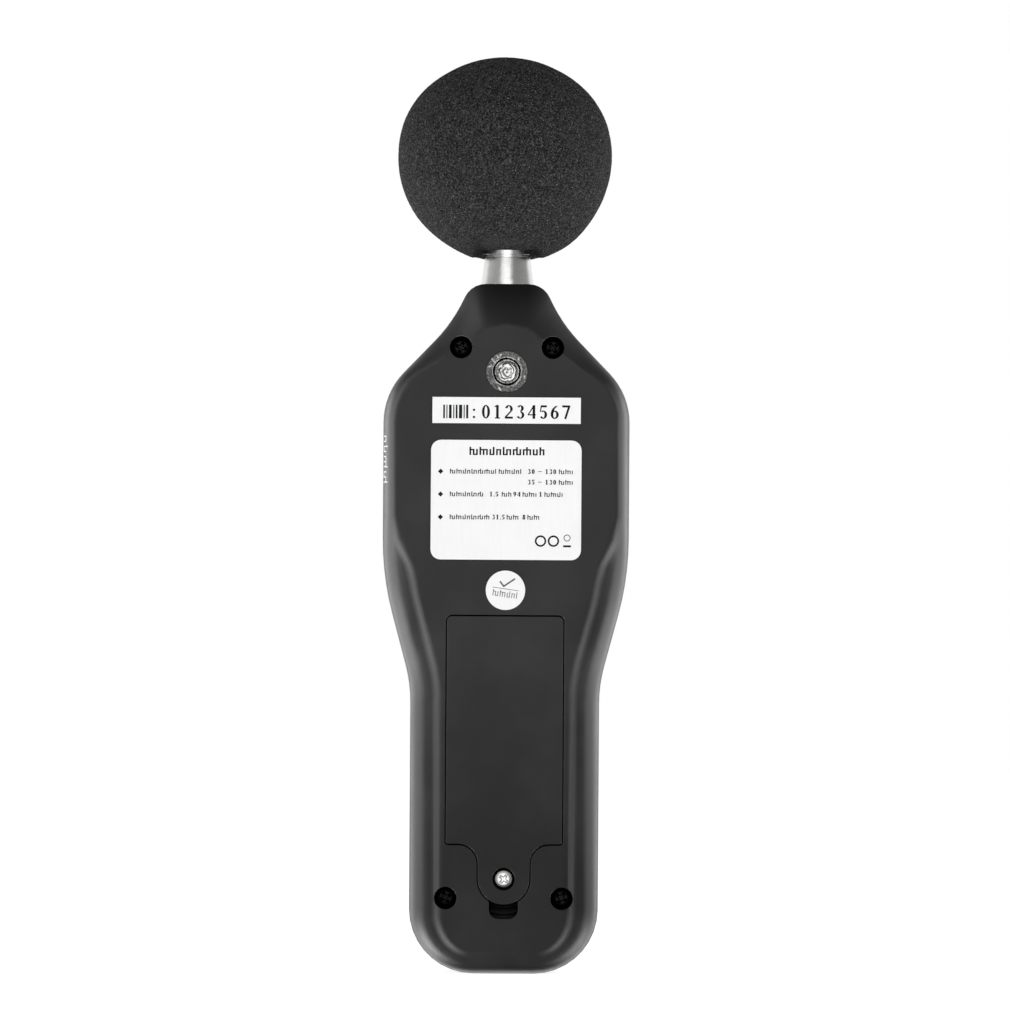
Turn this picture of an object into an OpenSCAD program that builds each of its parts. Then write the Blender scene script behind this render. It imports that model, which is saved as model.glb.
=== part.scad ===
// Hand-held sound level meter: foam-covered microphone on a metal stem, a two-shell plastic
// body with a wide head and a narrow grip, a battery door and a tripod socket in the back,
// a display and six keys in the front.
// Frame: +Z up the long axis, display towards -Y, battery door towards +Y, origin at the
// middle of the foot, on the microphone axis. Everything is in millimetres.

/* [Body outline] */
// Half width of the grip
grip_half = 26.4; // [26:0.1:28]
// Half width of the head
head_half = 34.4; // [34:0.1:37]
// Height of the plastic body
body_h = 192.8; // [191.8:0.1:194]
// Radius of the two bottom corners
foot_r = 18; // [15:0.5:19]
// Radius of the shoulders
shoulder_r = 20; // [19:0.5:21]
// Depth of the rear shell, from the parting plane to the flat back
rear_depth = 17; // [17:0.1:18]
// Depth of the front shell, from the parting plane to the flat front
front_depth = 15.5; // [15.5:0.1:16.5]

/* [Battery door] */
// Half width of the door opening
door_half = 16.6; // [16.4:0.1:17]
// Gap between the door and its opening
door_gap = 0.4; // [0.3:0.05:0.5]

/* [Microphone] */
// Radius of the foam ball
ball_r = 30; // [27:0.5:33]
// Radius of the microphone
mic_r = 6.35; // [6:0.05:6.5]

/* [Keys] */
// Half width of a key
key_half = 7; // [6:0.1:7.5]
// How far a key stands out of the front
key_proud = 1.4; // [1:0.1:2]

/* [Hidden] */

$fn = 64;
eps = 0.1;
over = 1;

// Thickness of the side walls and of the flat back and front, and how high the rooms behind
// them reach
wall = 2.4;
panel_wall = 2.2;
rear_room_top = 160;
front_room_top = 164;

// Gaps round parts that are fixed, and round parts that slide or turn
fit_gap = 0.05;
slide_gap = 0.1;

// Outline of the body: heights of the straight grip and head, and the arcs between them
grip_top = 75.7;
waist_angle = 15;
waist_in_r = 40;
waist_out_r = 81;
head_top = 154;
shoulder_angle = 44;
flare_r = 44;
neck_r = 6.5;
neck_x = 6;
neck_z = body_h - neck_r;
foot_flat = grip_half - foot_r;
waist_run = (head_half - grip_half - (waist_in_r + waist_out_r) * (1 - cos(waist_angle)))
    / sin(waist_angle);
head_base = grip_top + (waist_in_r + waist_out_r) * sin(waist_angle) + waist_run * cos(waist_angle);
shoulder_x = head_half - shoulder_r;
shoulder_reach = shoulder_x * cos(shoulder_angle) + head_top * sin(shoulder_angle)
    + shoulder_r + flare_r;
neck_reach = neck_x * cos(shoulder_angle) + neck_z * sin(shoulder_angle);
flare_span = flare_r + neck_r;
flare_angle = shoulder_angle - acos((shoulder_reach - neck_reach) / flare_span);
flare_x = neck_x + flare_span * cos(flare_angle);
flare_z = neck_z + flare_span * sin(flare_angle);

// Flat pad on the back and front: how far in from the outline it starts, and its arched top
head_inset = 4;
grip_inset = 9.2;
foot_inset = 6.5;
arch_top = 181;
arch_low = 166.6;
arch_half = 30;
arch_x = 18;
arch_mid_x = 7;
arch_near_x = 5;

// Side of the shells: straight to side_y, then rounded to the pad in this many rings
side_y = 10.5;
front_side_y = 9.5;
neck_side_y = 9.2;
neck_blend = 12;
neck_straight = 0.85;
rings = 10;
ledge_ring = 6;
ledge_share = 0.63;
ledge_rise = 0.84;
step_low = 110;
step_high = 128;

// Screws that close the body: [x, z] of the right-hand ones
top_screw = [12.8, 175];
foot_screw = [16.2, 21.2];
screw_seat_y = 6;
screw_head_r = 2.8;
screw_head_h = 2.4;
screw_r = 1.4;
screw_tip_y = -8;
counterbore_r = 3.15;
boss_r = 4.7;
front_boss_r = 3.6;
blade_half = 0.32;
blade_depth = 1.1;

// Tripod socket: the hole is the minor diameter of a 1/4 inch, 20 threads per inch thread
tripod_z = 168.2;
tripod_flange_r = 5.75;
tripod_flange_h = 0.7;
tripod_body_r = 4.6;
tripod_hole_r = 2.6;
tripod_depth = 8;
tripod_floor = 0.9;
tripod_ring_r = 4.15;
tripod_ring_h = 0.35;
tripod_mouth_r = 3.3;
tripod_proud = 0.15;
tripod_boss_r = 6.8;
tripod_boss_y = 6;
tripod_boss_z = tripod_z - 2;

// Battery door and its screw
door_top = 100.3;
door_shoulder = 36;
door_top_r = 1.7;
door_low_r = 1.2;
tongue_half = 7.6;
tongue_z = 26.7;
tongue_fillet = 5;
door_t = 1.9;
door_y = rear_depth - door_t;
hook_x = 8.5;
hook_w = 5;
hook_y = rear_depth - 3.8;
hook_t = 1.3;
hook_low = door_top - 3.5;
hook_step = door_top - 0.8;
hook_high = door_top + 1.6;
hook_gap = 0.5;
door_boss_r = 4.4;
door_boss_y = rear_depth - 3.6;
door_screw_z = 26.6;
door_screw_r = 1.2;
door_screw_head_r = 2.5;
door_screw_head_h = 1.5;
door_screw_seat = rear_depth - 1.6;
door_screw_tip = rear_depth - 8.5;
door_sink_r = 3.15;
block_half = 9;
block_low = 13;
block_y = rear_depth - 10.5;
notch_half = 4.1;
notch_low = 15.5;
notch_h = 8;
notch_r = 2.6;
notch_y = rear_depth - 3.6;

// 9 V battery and its compartment
cell_w = 26.5;
cell_h = 46.5;
cell_t = 17.5;
cell_z = 43;
cell_y = -3.05;
bay_half = 14.1;
bay_low = 41;
bay_high = 98.9;
bay_floor = -4.6;
bay_wall = 1.2;
stud_x = 6.35;
stud_h = 2.6;
stud_r = 2.9;
socket_r = 3.9;
pad_half = 11;
pad_low = 50;
pad_high = 84;
snap_half = 12.5;
snap_depth = 6;
snap_h = 3;
snap_low = cell_z + cell_h + stud_h + slide_gap;
lead_x = 3;
lead_y = 1;
lead_r = 0.7;
lead_top = 106;

// Microphone stem
stem_r = 7.25;
stem_low = 176;
stem_proud = 0.4;
stem_room_low = 150;
collar_r = 9;
collar_z = 178;
collar_h = 3;
stem_bore_r = 5.2;
taper_top = 200.4;
groove_h = 0.8;
groove_depth = 0.35;
stem_top = 222;
mic_base_h = 7.5;
mic_top = 232.5;
mic_spigot = 5;
grid_wall = 0.8;
grid_holes = 8;
grid_hole_r = 0.9;
grid_hole_x = 3.4;
ball_z = 228.5;
ball_rise = 28;
ball_low = 199.5;
ball_bore_r = mic_r + 0.15;
ball_bore_top = 234.5;
ball_steps = 16;
gasket_z = 185;
gasket_h = 2;
gasket_r = 8.6;
cable_low = 156;
cable_high = 184;
cable_r = 1;

// Display
window_z = 137;
window_w = 52;
window_h = 38;
window_t = 1.2;
window_r = 3;
view_w = 47;
view_h = 33;
panel_w = 50;
panel_h = 36;
panel_t = 2;
panel_y = -13.1;
panel_back = panel_y + panel_t;
frame_w = 57;
frame_h = 43;
backlight_h = 29;
strip_w = 46;
strip_t = 2;
strip_inset = 0.3;

// Main board, standing behind the front
board_t = 1.6;
board_y = -8.6;
board_back = board_y + board_t;
board_low = 30;
board_step = 107;
board_high = 160;
board_grip_half = 22.5;
board_head_half = 30;
post_low = [19.5, 35];
post_high = [27.3, 111.2];
post_r = 2.6;
post_hole_r = 0.95;
post_screw_r = 0.9;
post_screw_len = 3.5;
post_head_r = 1.9;
post_head_h = 1.3;
chip_h = 1.4;
switch_half = 3;
switch_h = 2.4;
plunger_r = 1.6;
plunger_h = 0.5;

// Keys: two columns of three
key_x = 11;
key_rows = [98, 82, 66];
key_r = 4.2;
key_gap = 0.25;
key_lip = 0.7;
key_lip_y = -13.2;
key_under_y = -12.4;
key_chamfer = 0.5;
overlay_half = 20.5;
overlay_low = 56;
overlay_high = 108;
overlay_t = 0.4;
overlay_r = 3;
overlay_gap = 0.15;

// Output jack and calibration trimmer, in opposite side walls
side_z = 144;
port_y = -4.5;
recess_t = 0.35;
recess_h = 18.7;
recess_w = 20;
jack_hole_r = 2.9;
jack_ferrule_r = 2.6;
jack_bore_r = 1.8;
jack_depth = 12;
jack_mouth = head_half - 0.9;
jack_ferrule_h = 2.6;
port_half = 3.2;
port_hole_run = 6;
trimmer_hole_r = 1.8;
trimmer_r = 1.15;
trimmer_x = -31.3;
trimmer_len = 4.2;
trimmer_slot = 0.25;
trimmer_body = [-30.5, -24];
port_span = [board_back + fit_gap, port_y + 3];
port_rise = [side_z - port_half, side_z + port_half];

// Labels
label_t = 0.15;
serial_w = 41.4;
serial_h = 7.3;
serial_z = 157.4;
spec_w = 42;
spec_h = 33.4;
spec_z = 132.4;
spec_r = 2.8;
sticker_r = 5.5;
sticker_z = 107.2;

function clamp01(t) = min(1, max(0, t));
function ease(t) = clamp01(t) * clamp01(t) * (3 - 2 * clamp01(t));
function mix(a, b, t) = a + (b - a) * t;

// Points of an arc and of a line, without the last one
function arc(c, r, from, to, n) = [
    for (k = [0 : n - 1])
        let (a = mix(from, to, k / n))
            [c[0] + r * cos(a), c[1] + r * sin(a)]
];
function line(from, to, n) = [for (k = [0 : n - 1]) mix(from, to, k / n)];
function polar(c, r, a) = [c[0] + r * cos(a), c[1] + r * sin(a)];

// Right half of the outline up to the shoulder, moved in by d
function lower_half(d) = concat(
    line([0, d], [foot_flat, d], 1),
    arc([foot_flat, foot_r], foot_r - d, -90, 0, 9),
    line([grip_half - d, foot_r], [grip_half - d, grip_top], 5),
    arc([grip_half + waist_in_r, grip_top], waist_in_r + d, 180, 180 - waist_angle, 4),
    line(
        polar([grip_half + waist_in_r, grip_top], waist_in_r + d, 180 - waist_angle),
        polar([head_half - waist_out_r, head_base], waist_out_r - d, -waist_angle),
        2
    ),
    arc([head_half - waist_out_r, head_base], waist_out_r - d, -waist_angle, 0, 5),
    line([head_half - d, head_base], [head_half - d, head_top], 5),
    arc([shoulder_x, head_top], shoulder_r - d, 0, shoulder_angle, 8)
);

// Right half from the shoulder to the middle of the top
function neck_half(d) = concat(
    line(
        polar([shoulder_x, head_top], shoulder_r - d, shoulder_angle),
        polar([flare_x, flare_z], flare_r + d, 180 + shoulder_angle),
        3
    ),
    arc([flare_x, flare_z], flare_r + d, 180 + shoulder_angle, 180 + flare_angle, 6),
    arc([neck_x, neck_z], neck_r - d, flare_angle, 90, 5),
    line([neck_x, body_h - d], [0, body_h - d], 1),
    [[0, body_h - d]]
);
function arch(x) = [x, mix(arch_low, arch_top, (1 + cos(180 * x / arch_half)) / 2)];
function arch_points(x0, x1, n) = [for (k = [0 : n - 1]) arch(mix(x0, x1, k / n))];
function arched_half(d) = concat(
    line(polar([shoulder_x, head_top], shoulder_r - d, shoulder_angle), arch(arch_x), 3),
    arch_points(arch_x, arch_mid_x, 6),
    arch_points(arch_mid_x, arch_near_x, 5),
    arch_points(arch_near_x, 0, 1),
    [arch(0)]
);

function mirrored(half) = concat(
    half,
    [for (i = [len(half) - 2 : -1 : 1]) [-half[i][0], half[i][1]]]
);
edge = concat(lower_half(0), neck_half(0));
head_pad = concat(lower_half(head_inset), arched_half(head_inset));
grip_pad = concat(lower_half(grip_inset), arched_half(head_inset));

// How much of the ledge on the sides of the grip there is at a height
function step_share(z, stepped) =
    stepped ? 1 - ease((z - step_low) / (step_high - step_low)) : 0;

// Point of the pad that belongs to point i of the outline
function pad_point(i, stepped) =
    let (
        z = edge[i][1],
        drop = (grip_inset - foot_inset) * clamp01(1 - z / foot_r)
    )
    mix(head_pad[i], grip_pad[i] - [0, drop], step_share(z, stepped));

// Way from the outline to the pad on ring j, as [share of the inset, share of the rise]
function rounded(j, share, rise, n) = [share * (1 - cos(90 * j / n)), rise * sin(90 * j / n)];
function stepped_ring(j) = j <= ledge_ring
    ? rounded(j, ledge_share, ledge_rise, ledge_ring)
    : let (t = (j - ledge_ring) / (rings - ledge_ring))
        [mix(ledge_share, 1, t), mix(ledge_rise, 1, ease(t))];

// Point i of the outline, carried towards the pad on ring j
function ring_point(i, j, depth, side, stepped) =
    let (
        z = edge[i][1],
        s = step_share(z, stepped),
        n = ease((z - arch_low) / neck_blend),
        plain = mix(rounded(j, 1, 1, rings), [j / rings, j / rings], neck_straight * n),
        way = mix(plain, stepped_ring(j), s),
        start = mix(side, neck_side_y, n),
        p = mix(edge[i], pad_point(i, stepped), way[0])
    )
    [p[0], mix(start, depth, way[1]), p[1]];
function right_ring(j, depth, side, stepped) = [
    for (i = [0 : len(edge) - 1])
        j < 0 ? [edge[i][0], 0, edge[i][1]] : ring_point(i, j, depth, side, stepped)
];
function full_ring(half) = concat(
    half,
    [for (i = [len(half) - 2 : -1 : 1]) [-half[i][0], half[i][1], half[i][2]]]
);

// Solid shell, from the parting plane to the pad, closed by strips across it
module shell_solid(depth, side, stepped) {
    last = len(edge) - 1;
    count = 2 * last;
    points = [for (j = [-1 : rings]) each full_ring(right_ring(j, depth, side, stepped))];
    sides = [
        for (j = [0 : rings], i = [0 : count - 1])
            let (
                a = j * count + i,
                b = j * count + (i + 1) % count,
                c = b + count,
                d = a + count
            )
            each [[a, b, c], [a, c, d]]
    ];
    strips = [
        [0, 1, 2, count - 2, count - 1],
        for (i = [2 : last - 3]) [i, i + 1, count - i - 1, count - i],
        [last, last + 1, last + 2, last - 2, last - 1]
    ];
    lid = (rings + 1) * count;
    floor_faces = [for (s = strips) [s[0], for (k = [len(s) - 1 : -1 : 1]) s[k]]];
    lid_faces = [for (s = strips) [for (v = s) v + lid]];
    polyhedron(points = points, faces = concat(sides, floor_faces, lid_faces), convexity = 6);
}

// Helpers: prisms and cylinders along Y, given the outline or radius and the two ends
module along_y(y0, y1) {
    translate([0, y1, 0]) rotate([90, 0, 0]) linear_extrude(y1 - y0) children();
}
module rod_y(r, y0, y1, x = 0, z = 0) {
    translate([x, y1, z]) rotate([90, 0, 0]) cylinder(r = r, h = y1 - y0);
}
// A cylinder along X, at the height and depth of the ports in the side walls
module rod_x(r, x0, x1) {
    translate([x0, port_y, side_z]) rotate([0, 90, 0]) cylinder(r = r, h = x1 - x0);
}
module rod_z(r, z0, z1) {
    translate([0, 0, z0]) cylinder(r = r, h = z1 - z0);
}
module box(x, y, z) {
    translate([x[0], y[0], z[0]]) cube([x[1] - x[0], y[1] - y[0], z[1] - z[0]]);
}
module both_sides() {
    children();
    mirror([1, 0, 0]) children();
}
function rounded_rect(w, h, r, z) = concat(
    arc([w / 2 - r, z - h / 2 + r], r, -90, 0, 6), [[w / 2, z - h / 2 + r]],
    arc([w / 2 - r, z + h / 2 - r], r, 0, 90, 6), [[w / 2 - r, z + h / 2]],
    arc([r - w / 2, z + h / 2 - r], r, 90, 180, 6), [[-w / 2, z + h / 2 - r]],
    arc([r - w / 2, z - h / 2 + r], r, 180, 270, 6), [[r - w / 2, z - h / 2]]
);

// Room inside a shell, up to top, moved in from the outline by d
function room(d, top) = let (half = [for (p = lower_half(d)) if (p[1] < top) p])
    mirrored(concat(half, [[half[len(half) - 1][0], top], [0, top]]));

// Bores both shells share: the stem's seat in the neck
module stem_seat() {
    rod_z(stem_bore_r, stem_room_low, stem_low + eps);
    rod_z(stem_r + fit_gap, stem_low - slide_gap, body_h + over);
    rod_z(collar_r + slide_gap, collar_z - slide_gap, collar_z + collar_h + slide_gap);
    rod_z(gasket_r + slide_gap, gasket_z - slide_gap, gasket_z + gasket_h + slide_gap);
}

module side_recess() {
    low = side_z - recess_h / 2;
    x = head_half - recess_t;
    box([x, x + 2], [-recess_w / 2, recess_w / 2], [low, low + recess_h]);
}

function overlay_outline(d) = rounded_rect(2 * (overlay_half - d),
    overlay_high - overlay_low - 2 * d, overlay_r - d, (overlay_low + overlay_high) / 2);
function hook_span(d) = [hook_x - d - hook_w / 2, hook_x + d + hook_w / 2];

// The opening, or the door inside it when d is the gap
function door_outline(d) = mirrored(concat(
    [[0, tongue_z - tongue_half + d]],
    [for (k = [1 : 9]) polar([0, tongue_z], tongue_half - d, -90 + 10 * k)],
    [for (k = [0 : 6])
        polar([tongue_half + tongue_fillet, door_shoulder - tongue_fillet], tongue_fillet + d,
            180 - 15 * k)],
    [for (k = [0 : 4])
        polar([door_half - door_low_r, door_shoulder + door_low_r], door_low_r - d,
            -90 + 22.5 * k)],
    [for (k = [0 : 4])
        polar([door_half - door_top_r, door_top - door_top_r], door_top_r - d, 22.5 * k)],
    [[0, door_top - d]]
));

module rear_case() {
    color([0.09, 0.09, 0.095])
    difference() {
        union() {
            difference() {
                shell_solid(rear_depth, side_y, true);
                along_y(-eps, side_y - 0.5) polygon(room(wall, rear_room_top));
                along_y(side_y - 1, rear_depth - panel_wall)
                    polygon(room(grip_inset, rear_room_top));
            }
            // compartment walls, the block under the door's tongue, and the boss of the socket
            box([-bay_half - bay_wall, bay_half + bay_wall], [bay_floor - bay_wall, door_y],
                [bay_low - bay_wall, bay_high + bay_wall]);
            box([-block_half, block_half], [block_y, door_y], [block_low, bay_low]);
            both_sides() rod_y(boss_r, 0, rear_depth - wall, foot_screw[0], foot_screw[1]);
            rod_y(tripod_boss_r, tripod_boss_y, rear_depth - wall, 0, tripod_boss_z);
        }
        box([-bay_half, bay_half], [bay_floor, rear_depth], [bay_low, bay_high]);
        along_y(door_y, rear_depth + over) polygon(door_outline(0));
        // slots for the door's hooks, the way out for the battery leads
        both_sides() {
            box(hook_span(hook_gap), [hook_y - hook_t, door_y + eps],
                [bay_high - over, hook_step + hook_gap]);
            box(hook_span(hook_gap), [hook_y - hook_t, hook_y + hook_t + 0.3],
                [bay_high - over, hook_high + hook_gap]);
        }
        box([-lead_x - 1.5, lead_x + 1.5], [lead_y - 2, lead_y + 2],
            [bay_high - over, bay_high + 2]);
        // room for the door's screw boss and screw, and the finger notch
        rod_y(door_boss_r + 0.6, door_boss_y - 0.2, door_y + eps, 0, door_screw_z);
        rod_y(door_screw_r + 0.55, door_screw_tip - over, door_boss_y, 0, door_screw_z);
        along_y(notch_y, rear_depth + over)
            polygon(rounded_rect(2 * notch_half, notch_h, notch_r, notch_low + notch_h / 2));
        // screws that close the body
        both_sides() for (s = [top_screw, foot_screw]) {
            rod_y(counterbore_r, screw_seat_y, rear_depth + over, s[0], s[1]);
            rod_y(screw_r + slide_gap, -eps, screw_seat_y + eps, s[0], s[1]);
        }
        // tripod socket
        rod_y(tripod_flange_r + fit_gap, rear_depth - tripod_flange_h, rear_depth + over, 0,
            tripod_z);
        rod_y(tripod_body_r, rear_depth - tripod_depth - over, rear_depth, 0, tripod_z);
        stem_seat();
        side_recess();
    }
}

module front_case() {
    inner = panel_wall - front_depth;
    color([0.09, 0.09, 0.095])
    difference() {
        union() {
            difference() {
                mirror([0, 1, 0]) shell_solid(front_depth, front_side_y, false);
                along_y(-front_side_y + 0.5, eps) polygon(room(wall, front_room_top));
                along_y(inner, -front_side_y + 1)
                    polygon(room(head_inset + 1, front_room_top));
            }
            both_sides() {
                rod_y(front_boss_r, inner - eps, 0, foot_screw[0], foot_screw[1]);
                rod_y(post_r, inner - eps, board_y, post_low[0], post_low[1]);
                rod_y(post_r, inner - eps, board_y, post_high[0], post_high[1]);
            }
        }
        // display: the seat of the window, and the hole behind it
        along_y(-front_depth - over, -front_depth + window_t)
            polygon(rounded_rect(window_w + 2 * slide_gap, window_h + 2 * slide_gap, window_r,
                window_z));
        along_y(-front_depth, inner + eps) polygon(rounded_rect(view_w, view_h, 1, window_z));
        // keys and the overlay's seat
        along_y(-front_depth - over, -front_depth + overlay_t) polygon(overlay_outline(0));
        both_sides() for (z = key_rows)
            pill(key_gap, -front_depth - over, inner + eps, key_x, z);
        both_sides() {
            for (s = [top_screw, foot_screw])
                rod_y(screw_r + fit_gap, screw_tip_y - over, eps, s[0], s[1]);
            for (s = [post_low, post_high])
                rod_y(post_hole_r, inner + 0.5, board_y + eps, s[0], s[1]);
        }
        // ports in the side walls
        rod_x(jack_hole_r, head_half - port_hole_run, head_half + over);
        rod_x(trimmer_hole_r, -head_half - over, port_hole_run - head_half);
        stem_seat();
        side_recess();
    }
}

module case_screws() {
    color([0.12, 0.12, 0.13])
    both_sides() for (s = [top_screw, foot_screw])
        difference() {
            union() {
                rod_y(screw_r, screw_tip_y, screw_seat_y + eps, s[0], s[1]);
                rod_y(screw_head_r, screw_seat_y, screw_seat_y + screw_head_h, s[0], s[1]);
            }
            cross_recess(screw_seat_y + screw_head_h, 1.5, s[0], s[1]);
        }
}

// Cross recess in a screw head whose top is at y
module cross_recess(y, half, x, z) {
    box([x - half, x + half], [y - blade_depth, y + eps], [z - blade_half, z + blade_half]);
    box([x - blade_half, x + blade_half], [y - blade_depth, y + eps], [z - half, z + half]);
}

module tripod_insert() {
    color([0.72, 0.71, 0.68])
    translate([0, rear_depth, tripod_z]) rotate([-90, 0, 0])
    rotate_extrude()
    polygon([
        [0, -tripod_depth - tripod_floor],
        [tripod_body_r - fit_gap, -tripod_depth - tripod_floor],
        [tripod_body_r - fit_gap, -tripod_flange_h],
        [tripod_flange_r, -tripod_flange_h],
        [tripod_flange_r, tripod_proud],
        [tripod_ring_r, tripod_proud],
        [tripod_ring_r, -tripod_ring_h],
        [tripod_mouth_r, -tripod_ring_h],
        [tripod_hole_r, tripod_hole_r - tripod_mouth_r - tripod_ring_h],
        [tripod_hole_r, -tripod_depth],
        [0, -tripod_depth],
    ]);
}

module battery_door() {
    color([0.085, 0.085, 0.09])
    difference() {
        union() {
            along_y(door_y, rear_depth) polygon(door_outline(door_gap));
            rod_y(door_boss_r, door_boss_y, door_y + eps, 0, door_screw_z);
            both_sides() {
                box(hook_span(0), [hook_y, door_y + eps], [hook_low, hook_step]);
                box(hook_span(0), [hook_y, hook_y + hook_t], [hook_low, hook_high]);
            }
        }
        rod_y(door_sink_r, door_screw_seat, rear_depth + over, 0, door_screw_z);
        rod_y(door_screw_r + fit_gap, door_boss_y - over, rear_depth, 0, door_screw_z);
    }
}

module door_screw() {
    seat = door_screw_seat - door_screw_tip;
    color([0.75, 0.74, 0.72])
    difference() {
        translate([0, door_screw_tip, door_screw_z]) rotate([-90, 0, 0])
        rotate_extrude()
        polygon([
            [0, 0],
            [door_screw_r - 0.5, 0],
            [door_screw_r, 0.8],
            [door_screw_r, seat],
            [door_screw_head_r, seat],
            [door_screw_head_r, seat + door_screw_head_h - 0.6],
            [door_screw_head_r - 0.6, seat + door_screw_head_h - 0.1],
            [0, seat + door_screw_head_h],
        ]);
        cross_recess(door_screw_seat + door_screw_head_h, 1.3, 0, door_screw_z);
    }
}

module battery() {
    color([0.16, 0.17, 0.2])
    translate([0, cell_y + cell_t / 2, cell_z])
    linear_extrude(cell_h) polygon(rounded_rect(cell_w, cell_t, 2, 0));
}

module battery_terminals() {
    color([0.8, 0.79, 0.75])
    for (side = [-1, 1])
        translate([side * stud_x, cell_y + cell_t / 2, cell_z + cell_h])
        difference() {
            cylinder(r = side < 0 ? stud_r : socket_r, h = stud_h);
            translate([0, 0, side < 0 ? stud_h : 0.5]) cylinder(r = stud_r, h = stud_h);
        }
}

module battery_snap() {
    mid = cell_y + cell_t / 2;
    color([0.1, 0.1, 0.1])
    difference() {
        box([-snap_half, snap_half], [mid - snap_depth, mid + snap_depth],
            [snap_low, snap_low + snap_h]);
        for (side = [-1, 1]) translate([side * stud_x, mid, snap_low - over])
            cylinder(r = stud_r + slide_gap, h = snap_h / 2 + over);
    }
}

// Two leads: up from the snap, forwards through the wall, down to the board
module battery_leads() {
    low = snap_low + snap_h;
    color([0.6, 0.1, 0.1])
    for (side = [-1, 1]) translate([side * lead_x, 0, 0]) {
        translate([0, lead_y, low]) cylinder(r = lead_r, h = lead_top - low, $fn = 24);
        translate([0, lead_y, lead_top]) sphere(r = lead_r, $fn = 24);
        rod_y(lead_r, board_back, lead_y, 0, lead_top);
    }
}

module battery_pad() {
    color([0.2, 0.2, 0.21])
    box([-pad_half, pad_half], [bay_floor, cell_y - fit_gap], [pad_low, pad_high]);
}

module serial_label() {
    color([0.93, 0.93, 0.93])
    box([-serial_w / 2, serial_w / 2], [rear_depth, rear_depth + label_t],
        [serial_z - serial_h / 2, serial_z + serial_h / 2]);
}

module spec_label() {
    color([0.93, 0.93, 0.93])
    along_y(rear_depth, rear_depth + label_t)
        polygon(rounded_rect(spec_w, spec_h, spec_r, spec_z));
}

module inspection_sticker() {
    color([0.93, 0.93, 0.93])
    rod_y(sticker_r, rear_depth, rear_depth + label_t, 0, sticker_z);
}

// Foam ball: round below its widest place, a little flatter above it, cut off at the lip
module windscreen() {
    lip = asin((ball_z - ball_low) / ball_r);
    under = [
        for (k = [0 : ball_steps - 1])
            polar([0, ball_z], ball_r, -lip * (1 - k / ball_steps))
    ];
    upper = [
        for (k = [0 : ball_steps])
            let (a = 90 * k / ball_steps)
                [ball_r * cos(a), ball_z + ball_rise * sin(a)]
    ];
    color([0.17, 0.17, 0.18])
    rotate_extrude()
        polygon(concat(
            [[ball_bore_r, ball_low]], under, upper,
            [[0, ball_bore_top], [ball_bore_r, ball_bore_top]]
        ));
}

module mic_barrel() {
    color([0.7, 0.69, 0.66])
    rotate_extrude()
    polygon([
        [stem_bore_r, stem_low],
        [stem_r, stem_low],
        [stem_r, collar_z],
        [collar_r, collar_z],
        [collar_r, collar_z + collar_h],
        [stem_r, collar_z + collar_h],
        [stem_r, body_h + stem_proud],
        [mic_r, taper_top],
        [mic_r - groove_depth, taper_top],
        [mic_r - groove_depth, taper_top + groove_h],
        [mic_r, taper_top + groove_h],
        [mic_r, stem_top],
        [stem_bore_r, stem_top],
    ]);
}

module barrel_gasket() {
    color([0.05, 0.05, 0.05])
    difference() {
        rod_z(gasket_r, gasket_z, gasket_z + gasket_h);
        rod_z(stem_r + fit_gap / 2, gasket_z - over, gasket_z + gasket_h + over);
    }
}

module mic_capsule() {
    color([0.62, 0.61, 0.58])
    union() {
        rod_z(mic_r, stem_top, stem_top + mic_base_h);
        rod_z(stem_bore_r - slide_gap, stem_top - mic_spigot, stem_top + eps);
    }
}

module mic_grid() {
    low = stem_top + mic_base_h;
    color([0.6, 0.59, 0.56])
    difference() {
        rod_z(mic_r, low, mic_top);
        rod_z(mic_r - grid_wall, low - over, mic_top - grid_wall);
        rod_z(grid_hole_r, low, mic_top + over);
        for (k = [0 : grid_holes - 1]) rotate([0, 0, 360 * k / grid_holes])
            translate([grid_hole_x, 0, low]) cylinder(r = grid_hole_r, h = 5, $fn = 24);
    }
}

module preamp_board() {
    color([0.08, 0.3, 0.16])
    union() {
        box([-4.4, 4.4], [-0.5, 0.5], [186, 214]);
        box([-2.5, 2.5], [0.4, 1.9], [196, 200]);
    }
}

// Screened cable from the preamplifier, down the neck to the main board
module mic_cable() {
    fall = cable_high - cable_low;
    reach = -board_back - cable_r - 2 * slide_gap;
    slope = atan(reach / fall);
    color([0.12, 0.12, 0.12])
    translate([0, 0, cable_high]) rotate([180 - slope, 0, 0])
        cylinder(r = cable_r, h = fall / cos(slope));
}

module lcd_window() {
    color([0.55, 0.6, 0.62, 0.5])
    along_y(-front_depth - 0.1, -front_depth + window_t - fit_gap)
        polygon(rounded_rect(window_w, window_h, window_r, window_z));
}

module lcd_panel() {
    color([0.62, 0.68, 0.55])
    box([-panel_w / 2, panel_w / 2], [panel_y, panel_y + panel_t],
        [window_z - panel_h / 2, window_z + panel_h / 2]);
}

module lcd_backlight() {
    color([0.9, 0.92, 0.88])
    box([-panel_w / 2 + 1, panel_w / 2 - 1], [panel_back + fit_gap, board_y - slide_gap],
        [window_z - backlight_h / 2, window_z + backlight_h / 2]);
}

module lcd_frame() {
    color([0.12, 0.12, 0.12])
    difference() {
        box([-frame_w / 2, frame_w / 2], [panel_y - slide_gap, board_y - fit_gap],
            [window_z - frame_h / 2, window_z + frame_h / 2]);
        box([-panel_w / 2 - slide_gap, panel_w / 2 + slide_gap], [panel_y - over, board_y + over],
            [window_z - panel_h / 2 - slide_gap, window_z + panel_h / 2 + slide_gap]);
    }
}

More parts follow.
